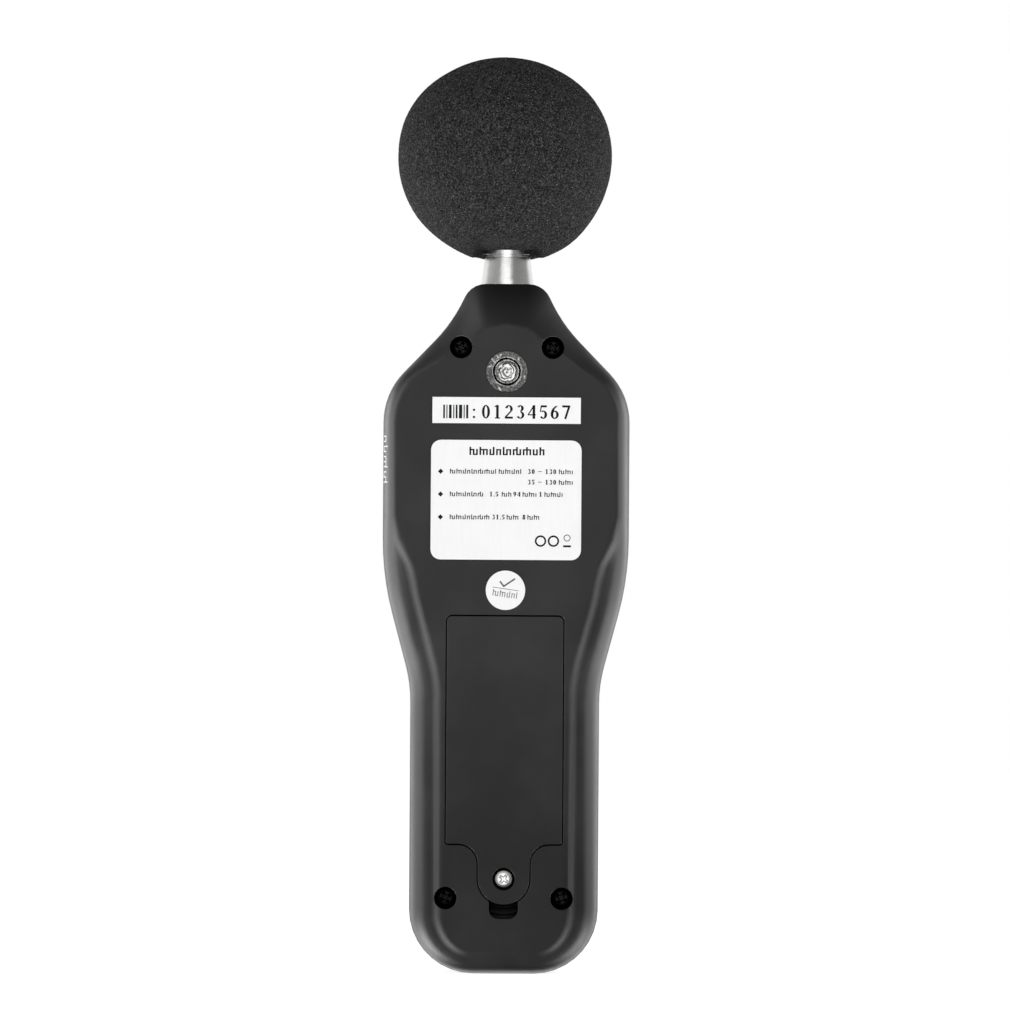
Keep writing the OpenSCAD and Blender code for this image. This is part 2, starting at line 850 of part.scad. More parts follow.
module zebra_strips() {
    color([0.75, 0.5, 0.45])
    for (side = [-1, 1]) {
        mid = window_z + side * (panel_h / 2 - strip_t / 2 - strip_inset);
        box([-strip_w / 2, strip_w / 2], [panel_back + fit_gap, board_y - fit_gap / 2],
            [mid - strip_t / 2, mid + strip_t / 2]);
    }
}

module main_board() {
    color([0.05, 0.28, 0.14])
    difference() {
        union() {
            box([-board_grip_half, board_grip_half], [board_y, board_back],
                [board_low, board_step + over]);
            box([-board_head_half, board_head_half], [board_y, board_back],
                [board_step, board_high]);
        }
        both_sides() for (s = [post_low, post_high])
            rod_y(post_screw_r + 2 * slide_gap, board_y - over, board_back + over, s[0], s[1]);
    }
}

module board_screws() {
    color([0.7, 0.7, 0.7])
    both_sides() for (s = [post_low, post_high])
        difference() {
            union() {
                rod_y(post_screw_r, board_y - post_screw_len, board_back + eps, s[0], s[1]);
                rod_y(post_head_r, board_back, board_back + post_head_h, s[0], s[1]);
            }
            cross_recess(board_back + post_head_h, post_screw_r, s[0], s[1]);
        }
}

// The processor, the converter, the supply and the detector, each as [x, z, width, height]
module board_chips() {
    color([0.07, 0.07, 0.07])
    for (chip = [[-4, 122, 12, 12], [12, 128, 8, 6], [-18, 136, 6, 8], [4, 146, 7, 5]])
        box([chip[0], chip[0] + chip[2]], [board_back, board_back + chip_h],
            [chip[1], chip[1] + chip[3]]);
}

module key_switches() {
    cap = board_y - switch_h;
    color([0.2, 0.2, 0.2])
    both_sides() for (z = key_rows) {
        box([key_x - switch_half, key_x + switch_half], [cap, board_y],
            [z - switch_half, z + switch_half]);
        rod_y(plunger_r, cap - plunger_h, cap + eps, key_x, z);
    }
}

module keypad_overlay() {
    color([0.2, 0.21, 0.23])
    difference() {
        along_y(-front_depth, -front_depth + overlay_t - fit_gap / 2)
            polygon(overlay_outline(overlay_gap));
        both_sides() for (z = key_rows) pill(key_gap, -front_depth - over, 0, key_x, z);
    }
}

// Straight bar with round ends, larger all round by grow
module pill(grow, y0, y1, x, z) {
    end = key_half - key_r;
    for (side = [-1, 1]) rod_y(key_r + grow, y0, y1, x + side * end, z);
    box([x - end, x + end], [y0, y1], [z - key_r - grow, z + key_r + grow]);
}

module key_at(x, z) {
    color([0.3, 0.31, 0.33])
    union() {
        pill(key_lip, key_lip_y, key_under_y, x, z);
        pill(0, -front_depth - key_proud + key_chamfer, key_under_y - eps, x, z);
        pill(-key_chamfer, -front_depth - key_proud, -front_depth, x, z);
    }
}
module key_power() {
    key_at(key_x, key_rows[0]);
}
module key_light() {
    key_at(-key_x, key_rows[0]);
}
module key_hold() {
    key_at(key_x, key_rows[1]);
}
module key_max_min() {
    key_at(-key_x, key_rows[1]);
}
module key_weighting() {
    key_at(key_x, key_rows[2]);
}
module key_response() {
    key_at(-key_x, key_rows[2]);
}

module output_jack() {
    shoulder = jack_mouth - jack_ferrule_h;
    color([0.1, 0.1, 0.1])
    difference() {
        union() {
            box([jack_mouth - jack_depth - 2, shoulder], port_span, port_rise);
            rod_x(jack_ferrule_r, shoulder - eps, jack_mouth);
        }
        rod_x(jack_bore_r, jack_mouth - jack_depth, jack_mouth + over);
    }
}

module calibration_trimmer() {
    color([0.1, 0.25, 0.5])
    difference() {
        box(trimmer_body, port_span, port_rise);
        rod_x(trimmer_r + fit_gap, trimmer_x, trimmer_x + trimmer_len + fit_gap);
    }
}

module trimmer_screw() {
    color([0.8, 0.65, 0.3])
    difference() {
        rod_x(trimmer_r, trimmer_x, trimmer_x + trimmer_len);
        box([trimmer_x - eps, trimmer_x + 0.5], [port_y - 2, port_y + 2],
            [side_z - trimmer_slot, side_z + trimmer_slot]);
    }
}

front_case();
rear_case();
case_screws();
tripod_insert();
battery_door();
door_screw();
battery();
battery_terminals();
battery_pad();
battery_snap();
battery_leads();
serial_label();
spec_label();
inspection_sticker();
windscreen();
mic_barrel();
barrel_gasket();
mic_capsule();
mic_grid();
preamp_board();
mic_cable();
lcd_window();
lcd_panel();
lcd_backlight();
lcd_frame();
zebra_strips();
main_board();
board_screws();
board_chips();
key_switches();
keypad_overlay();
key_power();
key_hold();
key_max_min();
key_weighting();
key_response();
key_light();
output_jack();
calibration_trimmer();
trimmer_screw();
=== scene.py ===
"""Looks of a hand-held sound level meter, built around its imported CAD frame.

The camera stands behind the meter (+Y), square to its back. Shapes are given in millimetres and
scaled by MM where a mesh is made. Lights, camera and floor are in metres.
"""
import math

import bmesh
import bpy
import numpy as np
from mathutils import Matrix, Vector


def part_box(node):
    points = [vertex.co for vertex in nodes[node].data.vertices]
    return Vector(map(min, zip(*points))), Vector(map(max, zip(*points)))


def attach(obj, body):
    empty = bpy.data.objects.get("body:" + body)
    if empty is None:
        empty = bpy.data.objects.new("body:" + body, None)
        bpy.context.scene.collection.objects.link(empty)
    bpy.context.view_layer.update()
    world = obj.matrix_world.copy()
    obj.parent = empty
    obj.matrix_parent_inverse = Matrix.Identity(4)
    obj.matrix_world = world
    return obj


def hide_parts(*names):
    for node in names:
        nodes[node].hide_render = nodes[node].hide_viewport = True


MM = 0.001

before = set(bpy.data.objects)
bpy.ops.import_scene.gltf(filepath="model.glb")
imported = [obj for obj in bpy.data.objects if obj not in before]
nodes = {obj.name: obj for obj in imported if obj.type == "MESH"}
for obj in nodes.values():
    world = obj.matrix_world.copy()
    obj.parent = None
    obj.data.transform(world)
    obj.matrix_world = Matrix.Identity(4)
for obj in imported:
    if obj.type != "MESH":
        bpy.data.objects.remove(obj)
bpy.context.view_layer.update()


# ---------------------------------------------------------------- materials

def rgba(sockets, name):
    """The colour socket of a mix node, which has sockets of other types under the same name."""
    return next(s for s in sockets if s.name == name and s.type == "RGBA")


def toned(colour, gain, lift=0.0):
    """A colour made brighter or darker."""
    return tuple(min(1.0, c * gain + lift) for c in colour)


class Tree:
    """A node tree under construction, for a material, the world or a mesh."""

    def __init__(self, tree):
        tree.nodes.clear()
        self.tree = tree

    def feed(self, target, value):
        """Links a socket into an input, or sets the input to a value or a colour."""
        if isinstance(value, bpy.types.NodeSocket):
            self.tree.links.new(value, target)
        elif target.type == "RGBA":
            target.default_value = (*value, 1.0)
        else:
            target.default_value = value

    def add(self, kind, inputs, **props):
        node = self.tree.nodes.new(kind)
        for key, value in props.items():
            setattr(node, key, value)
        for key, value in inputs.items():
            self.feed(node.inputs[key], value)
        return node

    def maths(self, operation, *values):
        return self.add("ShaderNodeMath", dict(enumerate(values)), operation=operation).outputs[0]

    def span(self, value, low, high, to_low=0.0, to_high=1.0, way="SMOOTHSTEP"):
        """The value eased from one range into another."""
        limits = {"From Min": low, "From Max": high, "To Min": to_low, "To Max": to_high}
        node = self.add("ShaderNodeMapRange", {"Value": value, **limits}, interpolation_type=way)
        return node.outputs[0]

    def blend(self, share, first, second):
        """Colour between two colours."""
        node = self.add("ShaderNodeMix", {"Factor": share}, data_type="RGBA")
        self.feed(rgba(node.inputs, "A"), first)
        self.feed(rgba(node.inputs, "B"), second)
        return rgba(node.outputs, "Result")


class Look(Tree):
    """A material: a Principled shader and the nodes that feed it."""

    def __init__(self, name, colour, roughness, metallic=0.0):
        self.mat = bpy.data.materials.new(name)
        self.mat.use_nodes = True
        super().__init__(self.mat.node_tree)
        self.shader = self.add("ShaderNodeBsdfPrincipled", {})
        self.add("ShaderNodeOutputMaterial", {"Surface": self.shader.outputs[0]})
        self.place = self.add("ShaderNodeTexCoord", {}).outputs["Object"]
        self.put("Base Color", colour)
        self.put("Roughness", roughness)
        self.put("Metallic", metallic)

    def put(self, name, value):
        self.feed(self.shader.inputs[name], value)

    def mapped(self, **inputs):
        """The object's coordinates, moved, turned or scaled."""
        return self.add("ShaderNodeMapping", {"Vector": self.place, **inputs}).outputs[0]

    def stretched(self, x, y, z):
        return self.mapped(Scale=(x, y, z))

    def noise(self, size_mm, detail=2.0, rough=0.5, where=None):
        node = self.add("ShaderNodeTexNoise", {
            "Vector": where or self.place, "Scale": 1.0 / (size_mm * MM),
            "Detail": detail, "Roughness": rough})
        return node.outputs["Fac"]

    def cells(self, size_mm, feature="F1"):
        node = self.add("ShaderNodeTexVoronoi", {"Vector": self.place}, feature=feature)
        node.inputs["Scale"].default_value = 1.0 / (size_mm * MM)
        return node.outputs["Distance"]

    def sum(self, a, b, weight):
        """a plus the weighted b."""
        return self.maths("MULTIPLY_ADD", b, weight, a)

    def height(self):
        """Height above the foot, in metres."""
        return self.add("ShaderNodeSeparateXYZ", {0: self.place}).outputs["Z"]

    def open_share(self, reach_mm, shut, free):
        """0 in crevices narrower than the reach, 1 on open faces."""
        node = self.add("ShaderNodeAmbientOcclusion", {"Distance": reach_mm * MM}, samples=6)
        return self.span(node.outputs["AO"], shut, free)

    def bump(self, height, depth_mm, strength=1.0, edge_mm=0.0):
        """Bump of the given depth, over edges rounded to edge_mm."""
        inputs = {"Height": height, "Strength": strength, "Distance": depth_mm * MM}
        if edge_mm:
            soft = self.add("ShaderNodeBevel", {"Radius": edge_mm * MM}, samples=6)
            inputs["Normal"] = soft.outputs[0]
        self.put("Normal", self.add("ShaderNodeBump", inputs).outputs[0])


FOOT_SHADE_TOP = 120          # below this height the reflection fades towards the foot: painted shade
FOOT_SHINE = 0.22
HEAD_SHINE = 0.36
CREVICE = 2.5           # the reflection fades in narrower gaps: painted shade


def moulded_plastic(name, colour, roughness, grain_mm=0.32, depth_mm=0.03, edge_mm=0.22):
    """Spark-eroded moulded plastic: fine even grain, with painted shade that dims its reflection in
    crevices and towards the foot.
    """
    look = Look(name, colour, roughness)
    fine = look.noise(grain_mm, 3.0, 0.6)
    broad = look.noise(26.0, 3.0, 0.55)
    dusty = toned(colour, 1.35, 0.002)
    look.put("Base Color", look.blend(look.span(broad, 0.35, 0.75), colour, dusty))
    worn = look.sum(look.span(broad, 0.3, 0.8, roughness - 0.05, roughness + 0.06), fine, 0.12)
    look.put("Roughness", worn)
    # painted shade: the reflection fades from the head down to the foot
    shine = look.span(look.height(), 0.0, FOOT_SHADE_TOP * MM, FOOT_SHINE, HEAD_SHINE)
    # painted shade: the reflection fades in crevices
    shine = look.maths("MULTIPLY", shine, look.open_share(CREVICE, 0.3, 0.85))
    look.put("Specular IOR Level", shine)
    look.bump(fine, depth_mm, 0.9, edge_mm)
    return look.mat


def turned_metal(name, colour, roughness, lines_mm=0.12, across=(0.02, 0.02, 1.0), depth_mm=0.004):
    """Plated metal with fine turning lines round its axis."""
    look = Look(name, colour, roughness, 1.0)
    lines = look.noise(lines_mm, 2.0, 0.6, look.stretched(*across))
    smudge = look.noise(5.0, 3.0, 0.6)
    look.put("Roughness", look.sum(look.span(smudge, 0.3, 0.7, roughness - 0.05, roughness + 0.07),
                                   lines, 0.08))
    stained = toned(colour, 0.86)
    look.put("Base Color", look.blend(look.span(smudge, 0.45, 0.8), colour, stained))
    look.bump(lines, depth_mm, 0.6, 0.12)
    return look.mat


def cut_metal(name, colour, roughness, axis_z):
    """Plated thread and bore: broken rings left by a tap turning along Y, bumped, and painted into
    the colour as bright and dark rings that stand for highlights and shade.
    """
    look = Look(name, colour, roughness, 1.0)
    wave = {"Vector": look.mapped(Location=(0, 0, -axis_z)), "Scale": 0.31 / MM,
            "Distortion": 12.0, "Detail": 2.0, "Detail Scale": 0.9}
    rings = look.add("ShaderNodeTexWave", wave, wave_type="RINGS", rings_direction="Y").outputs["Fac"]
    tears = look.noise(1.9, 3.0, 0.6)
    fine = look.noise(0.35)
    pattern = look.sum(look.span(rings, 0.1, 0.5), look.span(tears, 0.42, 0.58), 0.9)
    # painted highlight and shade: the rings swing the colour from dark to bright
    look.put("Base Color", look.blend(look.span(pattern, 0.3, 1.2), toned(colour, 0.22), colour))
    look.put("Roughness", look.span(fine, 0.3, 0.7, roughness - 0.06, roughness + 0.12))
    look.bump(look.sum(rings, tears, 0.6), 0.09, 0.8)
    return look.mat


def gritty_metal(name, colour, roughness):
    """Plated casting: dull grit with bright worn patches."""
    look = Look(name, colour, roughness, 1.0)
    grit = look.noise(0.5, 4.0, 0.7)
    pits = look.cells(0.7)
    worn = look.noise(1.2)
    plain = look.blend(look.span(grit, 0.38, 0.62), toned(colour, 0.3), colour)
    look.put("Base Color", look.blend(look.span(worn, 0.58, 0.66), plain, toned(colour, 2.6)))
    look.put("Roughness", look.span(grit, 0.3, 0.7, roughness - 0.1, roughness + 0.15))
    look.bump(look.sum(grit, pits, 0.5), 0.12, 0.8)
    return look.mat


def sticker(name, colour):
    """Coated paper: fibres under a thin gloss film."""
    look = Look(name, colour, 0.42)
    fibre = look.noise(0.8, 4.0, 0.6, look.stretched(1.0, 1.0, 0.35))
    patch = look.noise(9.0)
    brushed = look.noise(0.9, 3.0, 0.6, look.stretched(1.0, 1.0, 0.12))
    mottled = look.sum(look.span(patch, 0.3, 0.7, 0.0, 0.4), look.span(brushed, 0.35, 0.7), 0.6)
    look.put("Base Color", look.blend(mottled, colour, toned(colour, 0.965)))
    look.put("Roughness", look.span(fibre, 0.3, 0.7, 0.38, 0.5))
    look.put("Coat Weight", 0.15)
    look.put("Coat Roughness", 0.25)
    look.bump(fibre, 0.012, 0.5)
    return look.mat


def ink(name, colour, roughness=0.55):
    """Printing ink, a little thin in specks."""
    look = Look(name, colour, roughness)
    speck = look.noise(0.25)
    thin = toned(colour, 1.3, 0.01)
    look.put("Base Color", look.blend(look.span(speck, 0.5, 0.75), colour, thin))
    look.put("Roughness", look.span(speck, 0.3, 0.7, roughness - 0.06, roughness + 0.06))
    look.put("Specular IOR Level", 0.1)
    return look.mat


def rubber(name, colour, roughness=0.62):
    """Moulded rubber with dust on it."""
    look = Look(name, colour, roughness)
    fine = look.noise(0.3, 3.0, 0.6)
    broad = look.noise(7.0)
    dusty = toned(colour, 1.3, 0.006)
    look.put("Base Color", look.blend(look.span(broad, 0.4, 0.8), colour, dusty))
    look.put("Roughness", look.span(broad, 0.3, 0.7, roughness - 0.05, roughness + 0.08))
    look.put("Sheen Weight", 0.15)
    look.bump(fine, 0.015, 0.7, 0.3)
    return look.mat


def foam_look():
    """Open-cell foam: pores darkened with painted shade, paler struts, and specks of painted glint.
    """
    look = Look("open_cell_foam", (0.05, 0.05, 0.053), 0.85)
    pore = look.add("ShaderNodeAttribute", {}, attribute_name="pore").outputs["Fac"]
    fine = look.cells(0.62, "DISTANCE_TO_EDGE")
    grain = look.noise(0.5, 3.0, 0.65)
    depth = look.sum(look.span(pore, 0.0, 1.0, 0.0, 0.55), look.span(fine, 0.04, 0.34), 0.6)
    strut = look.blend(look.span(grain, 0.36, 0.66), (0.0035, 0.0035, 0.0038), (0.054, 0.054, 0.0555))
    # painted shade: the deeper into a pore, the darker the colour
    body = look.blend(look.span(depth, 0.1, 1.0), strut, (0.0012, 0.0012, 0.0012))
    # painted glints: specks of bright colour, which are also less rough
    spark = look.noise(0.36)
    look.put("Base Color", look.blend(look.span(spark, 0.63, 0.74), body, (0.2, 0.2, 0.205)))
    look.put("Roughness", look.span(spark, 0.6, 0.75, 0.88, 0.5))
    look.put("Specular IOR Level", 0.04)
    look.bump(look.sum(grain, fine, -0.8), 0.2, 0.8)
    return look.mat


def board_look():
    """Solder mask over copper tracks, with plated pads."""
    look = Look("circuit_board", (0.02, 0.16, 0.07), 0.32)
    brick = {"Vector": look.mapped(Rotation=(math.pi / 2, 0, 0)), "Scale": 1.0,
             "Mortar Size": 0.16 * MM, "Mortar Smooth": 0.2,
             "Brick Width": 3.1 * MM, "Row Height": 1.3 * MM}
    tracks = look.add("ShaderNodeTexBrick", brick, offset=0.37, squash=0.6, squash_frequency=3)
    mask = look.blend(tracks.outputs["Fac"], (0.014, 0.12, 0.05), (0.03, 0.23, 0.1))
    pads = look.span(look.cells(3.4), 0.17, 0.14)
    look.put("Base Color", look.blend(pads, mask, (0.75, 0.6, 0.3)))
    look.put("Metallic", pads)
    look.put("Coat Weight", 0.3)
    look.bump(tracks.outputs["Fac"], 0.03, 0.6, 0.1)
    return look.mat


def battery_look():
    """Printed steel jacket: dark below, a pale band above."""
    look = Look("battery_jacket", (0.03, 0.03, 0.035), 0.3, 0.6)
    low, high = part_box("battery")
    split = low.z + 0.7 * (high.z - low.z)
    band = look.span(look.height(), split - 0.1 * MM, split + 0.1 * MM)
    look.put("Base Color", look.blend(band, (0.015, 0.03, 0.09), (0.75, 0.55, 0.2)))
    scuffs = look.noise(2.0, 5.0, 0.7, look.stretched(1.0, 1.0, 0.15))
    look.put("Roughness", look.span(scuffs, 0.35, 0.75, 0.22, 0.5))
    look.bump(scuffs, 0.01, 0.4, 0.15)
    return look.mat


def clear_look():
    """Hard-coated acrylic window."""
    look = Look("clear_window", (0.97, 0.98, 0.98), 0.03)
    look.put("Transmission Weight", 1.0)
    look.put("IOR", 1.3)
    wipe = look.noise(14.0, 3.0, 0.6, look.stretched(1.0, 1.0, 0.3))
    look.put("Roughness", look.span(wipe, 0.4, 0.8, 0.02, 0.07))
    return look.mat


def lcd_look():
    """Twisted-nematic glass: grey-green with faint mottling."""
    look = Look("lcd_glass", (0.36, 0.41, 0.33), 0.22)
    mottle = look.noise(6.0)
    grid = look.noise(0.2, 1.0, 0.5)
    look.put("Base Color", look.blend(look.span(mottle, 0.3, 0.7), (0.34, 0.39, 0.31),
                                      (0.4, 0.45, 0.36)))
    look.put("Roughness", look.span(grid, 0.3, 0.7, 0.18, 0.28))
    return look.mat


BLACK = (0.0035, 0.0035, 0.0037)
SOCKET_Z = 168.2        # axis of the tripod socket
looks = {
    "case": moulded_plastic("case_plastic", BLACK, 0.35),
    "door": moulded_plastic("door_plastic", (0.002, 0.002, 0.0022), 0.39),
    "chip": moulded_plastic("chip_plastic", (0.012, 0.012, 0.013), 0.5, 0.2, 0.01, 0.1),
    "frame": moulded_plastic("frame_plastic", (0.02, 0.02, 0.02), 0.5),
    "diffuser": moulded_plastic("diffuser_plastic", (0.8, 0.83, 0.78), 0.35),
    "overlay": moulded_plastic("overlay_film", (0.035, 0.037, 0.043), 0.38, 0.2, 0.012, 0.1),
    "trimmer": moulded_plastic("trimmer_plastic", (0.02, 0.07, 0.3), 0.3),
    "stem": turned_metal("stem_metal", (0.88, 0.88, 0.87), 0.19),
    "nickel": turned_metal("nickel_plate", (0.92, 0.92, 0.91), 0.18, 0.3, (1, 1, 1), 0.008),
    "grit": gritty_metal("gritty_nickel", (0.3, 0.3, 0.295), 0.34),
    "cut_nickel": cut_metal("cut_nickel", (0.95, 0.95, 0.94), 0.2, SOCKET_Z * MM),
    # painted shade: a dark metal for the groove round the socket's thread
    "groove_shade": gritty_metal("groove_shade_metal", (0.09, 0.09, 0.09), 0.4),
    "brass": turned_metal("brass", (0.8, 0.6, 0.25), 0.25, 0.2, (1, 1, 1), 0.006),
    "black_steel": turned_metal("blackened_steel", (0.02, 0.02, 0.022), 0.3, 0.3, (1, 1, 1), 0.008),
    "paper": sticker("sticker_paper", (0.77, 0.77, 0.77)),
    "ink": ink("black_ink", (0.006, 0.006, 0.007)),
    "grey_ink": ink("grey_ink", (0.1, 0.1, 0.105)),
    "white_ink": ink("white_ink", (0.75, 0.75, 0.75), 0.5),
    "lcd_ink": ink("lcd_segments", (0.012, 0.018, 0.012), 0.3),
    "mask": ink("window_mask", (0.008, 0.008, 0.009), 0.35),
    "rubber": rubber("black_rubber", (0.018, 0.018, 0.018)),
    "key": rubber("key_rubber", (0.075, 0.078, 0.086)),
    "strip": rubber("strip_rubber", (0.5, 0.28, 0.24), 0.5),
    "lead": rubber("lead_insulation", (0.4, 0.015, 0.015), 0.4),
    "pad": rubber("grey_foam_pad", (0.12, 0.12, 0.125), 0.9),
    "foam": foam_look(),
    "board": board_look(),
    "battery": battery_look(),
    "clear": clear_look(),
    "lcd": lcd_look(),
}

LOOK_NODES = {
    "case": ("front_case", "rear_case"),
    "door": ("battery_door",),
    "battery": ("battery",),
    "black_steel": ("case_screws",),
    "nickel": ("battery_terminals", "board_screws"),
    "stem": ("mic_barrel", "mic_capsule", "mic_grid"),
    "brass": ("trimmer_screw",),
    "paper": ("serial_label", "spec_label", "inspection_sticker"),
    "pad": ("battery_pad",),
    "rubber": ("battery_snap", "barrel_gasket", "mic_cable"),
    "lead": ("battery_leads",),
    "strip": ("zebra_strips",),
    "board": ("preamp_board", "main_board"),
    "chip": ("board_chips", "key_switches", "output_jack"),
    "trimmer": ("calibration_trimmer",),
    "clear": ("lcd_window",),
    "lcd": ("lcd_panel",),
    "diffuser": ("lcd_backlight",),
    "frame": ("lcd_frame",),
    "overlay": ("keypad_overlay",),
    "key": ("key_power", "key_light", "key_hold", "key_max_min", "key_weighting", "key_response"),
}


def smoothing_group(limit_deg):
    """Geometry nodes that weld a CAD mesh and smooth it, except across edges over the limit."""
    group = bpy.data.node_groups.new("smooth_%d" % limit_deg, "GeometryNodeTree")
    for way in ("INPUT", "OUTPUT"):
        group.interface.new_socket("Geometry", in_out=way, socket_type="NodeSocketGeometry")
    tree = Tree(group)
    raw = tree.add("NodeGroupInput", {}).outputs[0]
    weld = tree.add("GeometryNodeMergeByDistance", {"Geometry": raw, "Distance": 0.002 * MM})
    faces = tree.add("GeometryNodeSetShadeSmooth", {"Geometry": weld.outputs[0]}, domain="FACE")
    angle = tree.add("GeometryNodeInputMeshEdgeAngle", {}).outputs["Unsigned Angle"]
    under = tree.add("FunctionNodeCompare", {0: angle, 1: math.radians(limit_deg)},
                     data_type="FLOAT", operation="LESS_THAN")
    shade = {"Geometry": faces.outputs[0], "Shade Smooth": under.outputs[0]}
    edges = tree.add("GeometryNodeSetShadeSmooth", shade, domain="EDGE")
    tree.add("NodeGroupOutput", {0: edges.outputs[0]})
    return group


SMOOTH = smoothing_group(32)


def smooth_shade(obj):
    """Welds an object and smooths it, except across its sharp edges."""
    soften = obj.modifiers.new("smooth", "NODES")
    soften.node_group = SMOOTH


def finish_cad(node, look):
    """A CAD node's own mesh, welded and smooth-shaded, in the given look."""
    obj = nodes[node]
    mesh = obj.data
    if "custom_normal" in mesh.attributes:
        mesh.attributes.remove(mesh.attributes["custom_normal"])
    mesh.materials.clear()
    mesh.materials.append(looks[look])
    mesh.polygons.foreach_set("material_index", [0] * len(mesh.polygons))
    smooth_shade(obj)
    even = obj.modifiers.new("even", "WEIGHTED_NORMAL")
    even.keep_sharp = True
    even.weight = 80


for look, names in LOOK_NODES.items():
    for name in names:
        finish_cad(name, look)


# ---------------------------------------------------------------- mesh helpers

def piece(name, verts, faces, look, body, smooth=True):
    """A new mesh piece that rides on a body. Its verts are in mm, in the meter's frame."""
    mesh = bpy.data.meshes.new(name)
    mesh.from_pydata([Vector(v) * MM for v in verts], [], faces)
    mesh.validate()
    bm = bmesh.new()
    bm.from_mesh(mesh)
    bmesh.ops.recalc_face_normals(bm, faces=bm.faces)
    bm.to_mesh(mesh)
    bm.free()
    for p in mesh.polygons:
        p.use_smooth = smooth
    mesh.materials.append(looks[look])
    obj = bpy.data.objects.new(name, mesh)
    bpy.context.scene.collection.objects.link(obj)
    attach(obj, body)
    return obj


def wall(heights, steps, radius):
    """Rings of points round the Y axis, with a radius that depends on the height and the turn."""
    out = []
    for y in heights:
        for k in range(steps):
            r = radius(y, k / steps)
            a = 2 * math.pi * k / steps
            out.append((r * math.cos(a), y, r * math.sin(a)))
    return out


def ring_points(r, y, steps):
    """A plain ring of points round the Y axis."""
    return wall([y], steps, lambda height, turn: r)


def skin_faces(rings, steps):
    """Faces between rings of points that follow each other. The ends stay open."""
    faces = []
    for j in range(rings - 1):
        for k in range(steps):
            m = (k + 1) % steps
            faces.append((j * steps + k, j * steps + m, (j + 1) * steps + m, (j + 1) * steps + k))
    return faces


def make_print(name, outlines, y0, y1, look, body, warp=None):
    """Print: closed thin prisms on outlines of (x, z), between two y. warp maps (x, y, z)."""
    verts, faces = [], []
    for outline in outlines:
        n, base = len(outline), len(verts)
        for y in (y0, y1):
            verts += [(x, y, z) if warp is None else warp(x, y, z) for x, z in outline]
        faces.append(range(base, base + n))
        faces.append(range(base + 2 * n - 1, base + n - 1, -1))
        for k in range(n):
            j = (k + 1) % n
            faces.append((base + k, base + j, base + n + j, base + n + k))
    piece(name, verts, faces, look, body, smooth=False)


def bar(x0, z0, x1, z1):
    """An upright rectangle between two corners."""
    return [(x0, z0), (x1, z0), (x1, z1), (x0, z1)]


def stroke(x0, z0, x1, z1, w):
    """A straight stroke of width w between two points."""
    dx, dz = x1 - x0, z1 - z0
    n = w / 2 / math.hypot(dx, dz)
    ox, oz = -dz * n, dx * n
    return [(x0 + ox, z0 + oz), (x1 + ox, z1 + oz), (x1 - ox, z1 - oz), (x0 - ox, z0 - oz)]


def bow(cx, cz, rx, rz, thick, thin, a0, a1, steps=20):
    """A curved stroke inside an ellipse, between two angles, as thick as given at its sides."""
    out, back = [], []
    for k in range(steps + 1):
        a = math.radians(a0 + (a1 - a0) * k / steps)
        out.append((cx + rx * math.cos(a), cz + rz * math.sin(a)))
        back.append((cx + (rx - thick) * math.cos(a), cz + (rz - thin) * math.sin(a)))
    return out + back[::-1]


def arc_band(cx, cz, r, w, a0, a1):
    """A band of width w along an arc, between two angles."""
    return bow(cx, cz, r + w / 2, r + w / 2, w, w, a0, a1)


def hoop(cx, cz, r, w):
    return [arc_band(cx, cz, r, w, 0, 180), arc_band(cx, cz, r, w, 180, 360)]


def disc(cx, cz, r, steps=32):
    turns = [2 * math.pi * k / steps for k in range(steps)]
    return [(cx + r * math.cos(a), cz + r * math.sin(a)) for a in turns]


def rounded(cx, cz, w, h, r, steps=8):
    """A rectangle with round corners."""
    pts = []
    for sx, sz, a0 in ((1, -1, -90), (1, 1, 0), (-1, 1, 90), (-1, -1, 180)):
        for k in range(steps + 1):
            a = math.radians(a0 + 90 * k / steps)
            pts.append((cx + sx * (w / 2 - r) + r * math.cos(a),
                        cz + sz * (h / 2 - r) + r * math.sin(a)))
    return pts


# ---------------------------------------------------------------- windscreen

BALL_Z = 228.5          # centre of the ball
BALL_R = 30.0
BALL_RISE = 28.0        # from the centre to its slightly flat top
BALL_LOW = 199.5        # its cut lower face
BORE_R = 6.5
BORE_TOP = 234.5
FOAM_AROUND = 440       # points round the ball
FOAM_STEP = 0.46        # spacing of the rings up the ball
CELL = 0.95             # size of a foam cell
PORE_DEPTH = 0.34
DENT = 9.0              # size of the broad dents
ASKEW = 0.9             # how far the ball leans over to one side of its bore
LIFT = 2.9              # how far its lower face is pushed up beside the stem, towards +Y


def cell_noise(points, size, seed):
    """Distances to the nearest and second nearest cell centre, and the nearest cell's number."""
    repeat, far = 96, 9.0
    jitter = np.random.default_rng(seed).random((repeat, repeat, repeat, 4))
    points = points + 100.0
    grid = np.floor(points / size).astype(int)
    near = np.full(len(points), far)
    second = np.full(len(points), far)
    label = np.zeros(len(points))
    for dx in (-1, 0, 1):
        for dy in (-1, 0, 1):
            for dz in (-1, 0, 1):
                cell = grid + (dx, dy, dz)
                rand = jitter[tuple((cell % repeat).T)]
                away = np.linalg.norm(points / size - cell - rand[:, :3], axis=1)
                closer = away < near
                second = np.where(closer, near, np.minimum(second, away))
                label = np.where(closer, rand[:, 3], label)
                near = np.where(closer, away, near)
    return near, second, label


def smooth(t):
    """Eases a share from 0 to 1."""
    t = np.clip(t, 0.0, 1.0)
    return t * t * (3 - 2 * t)


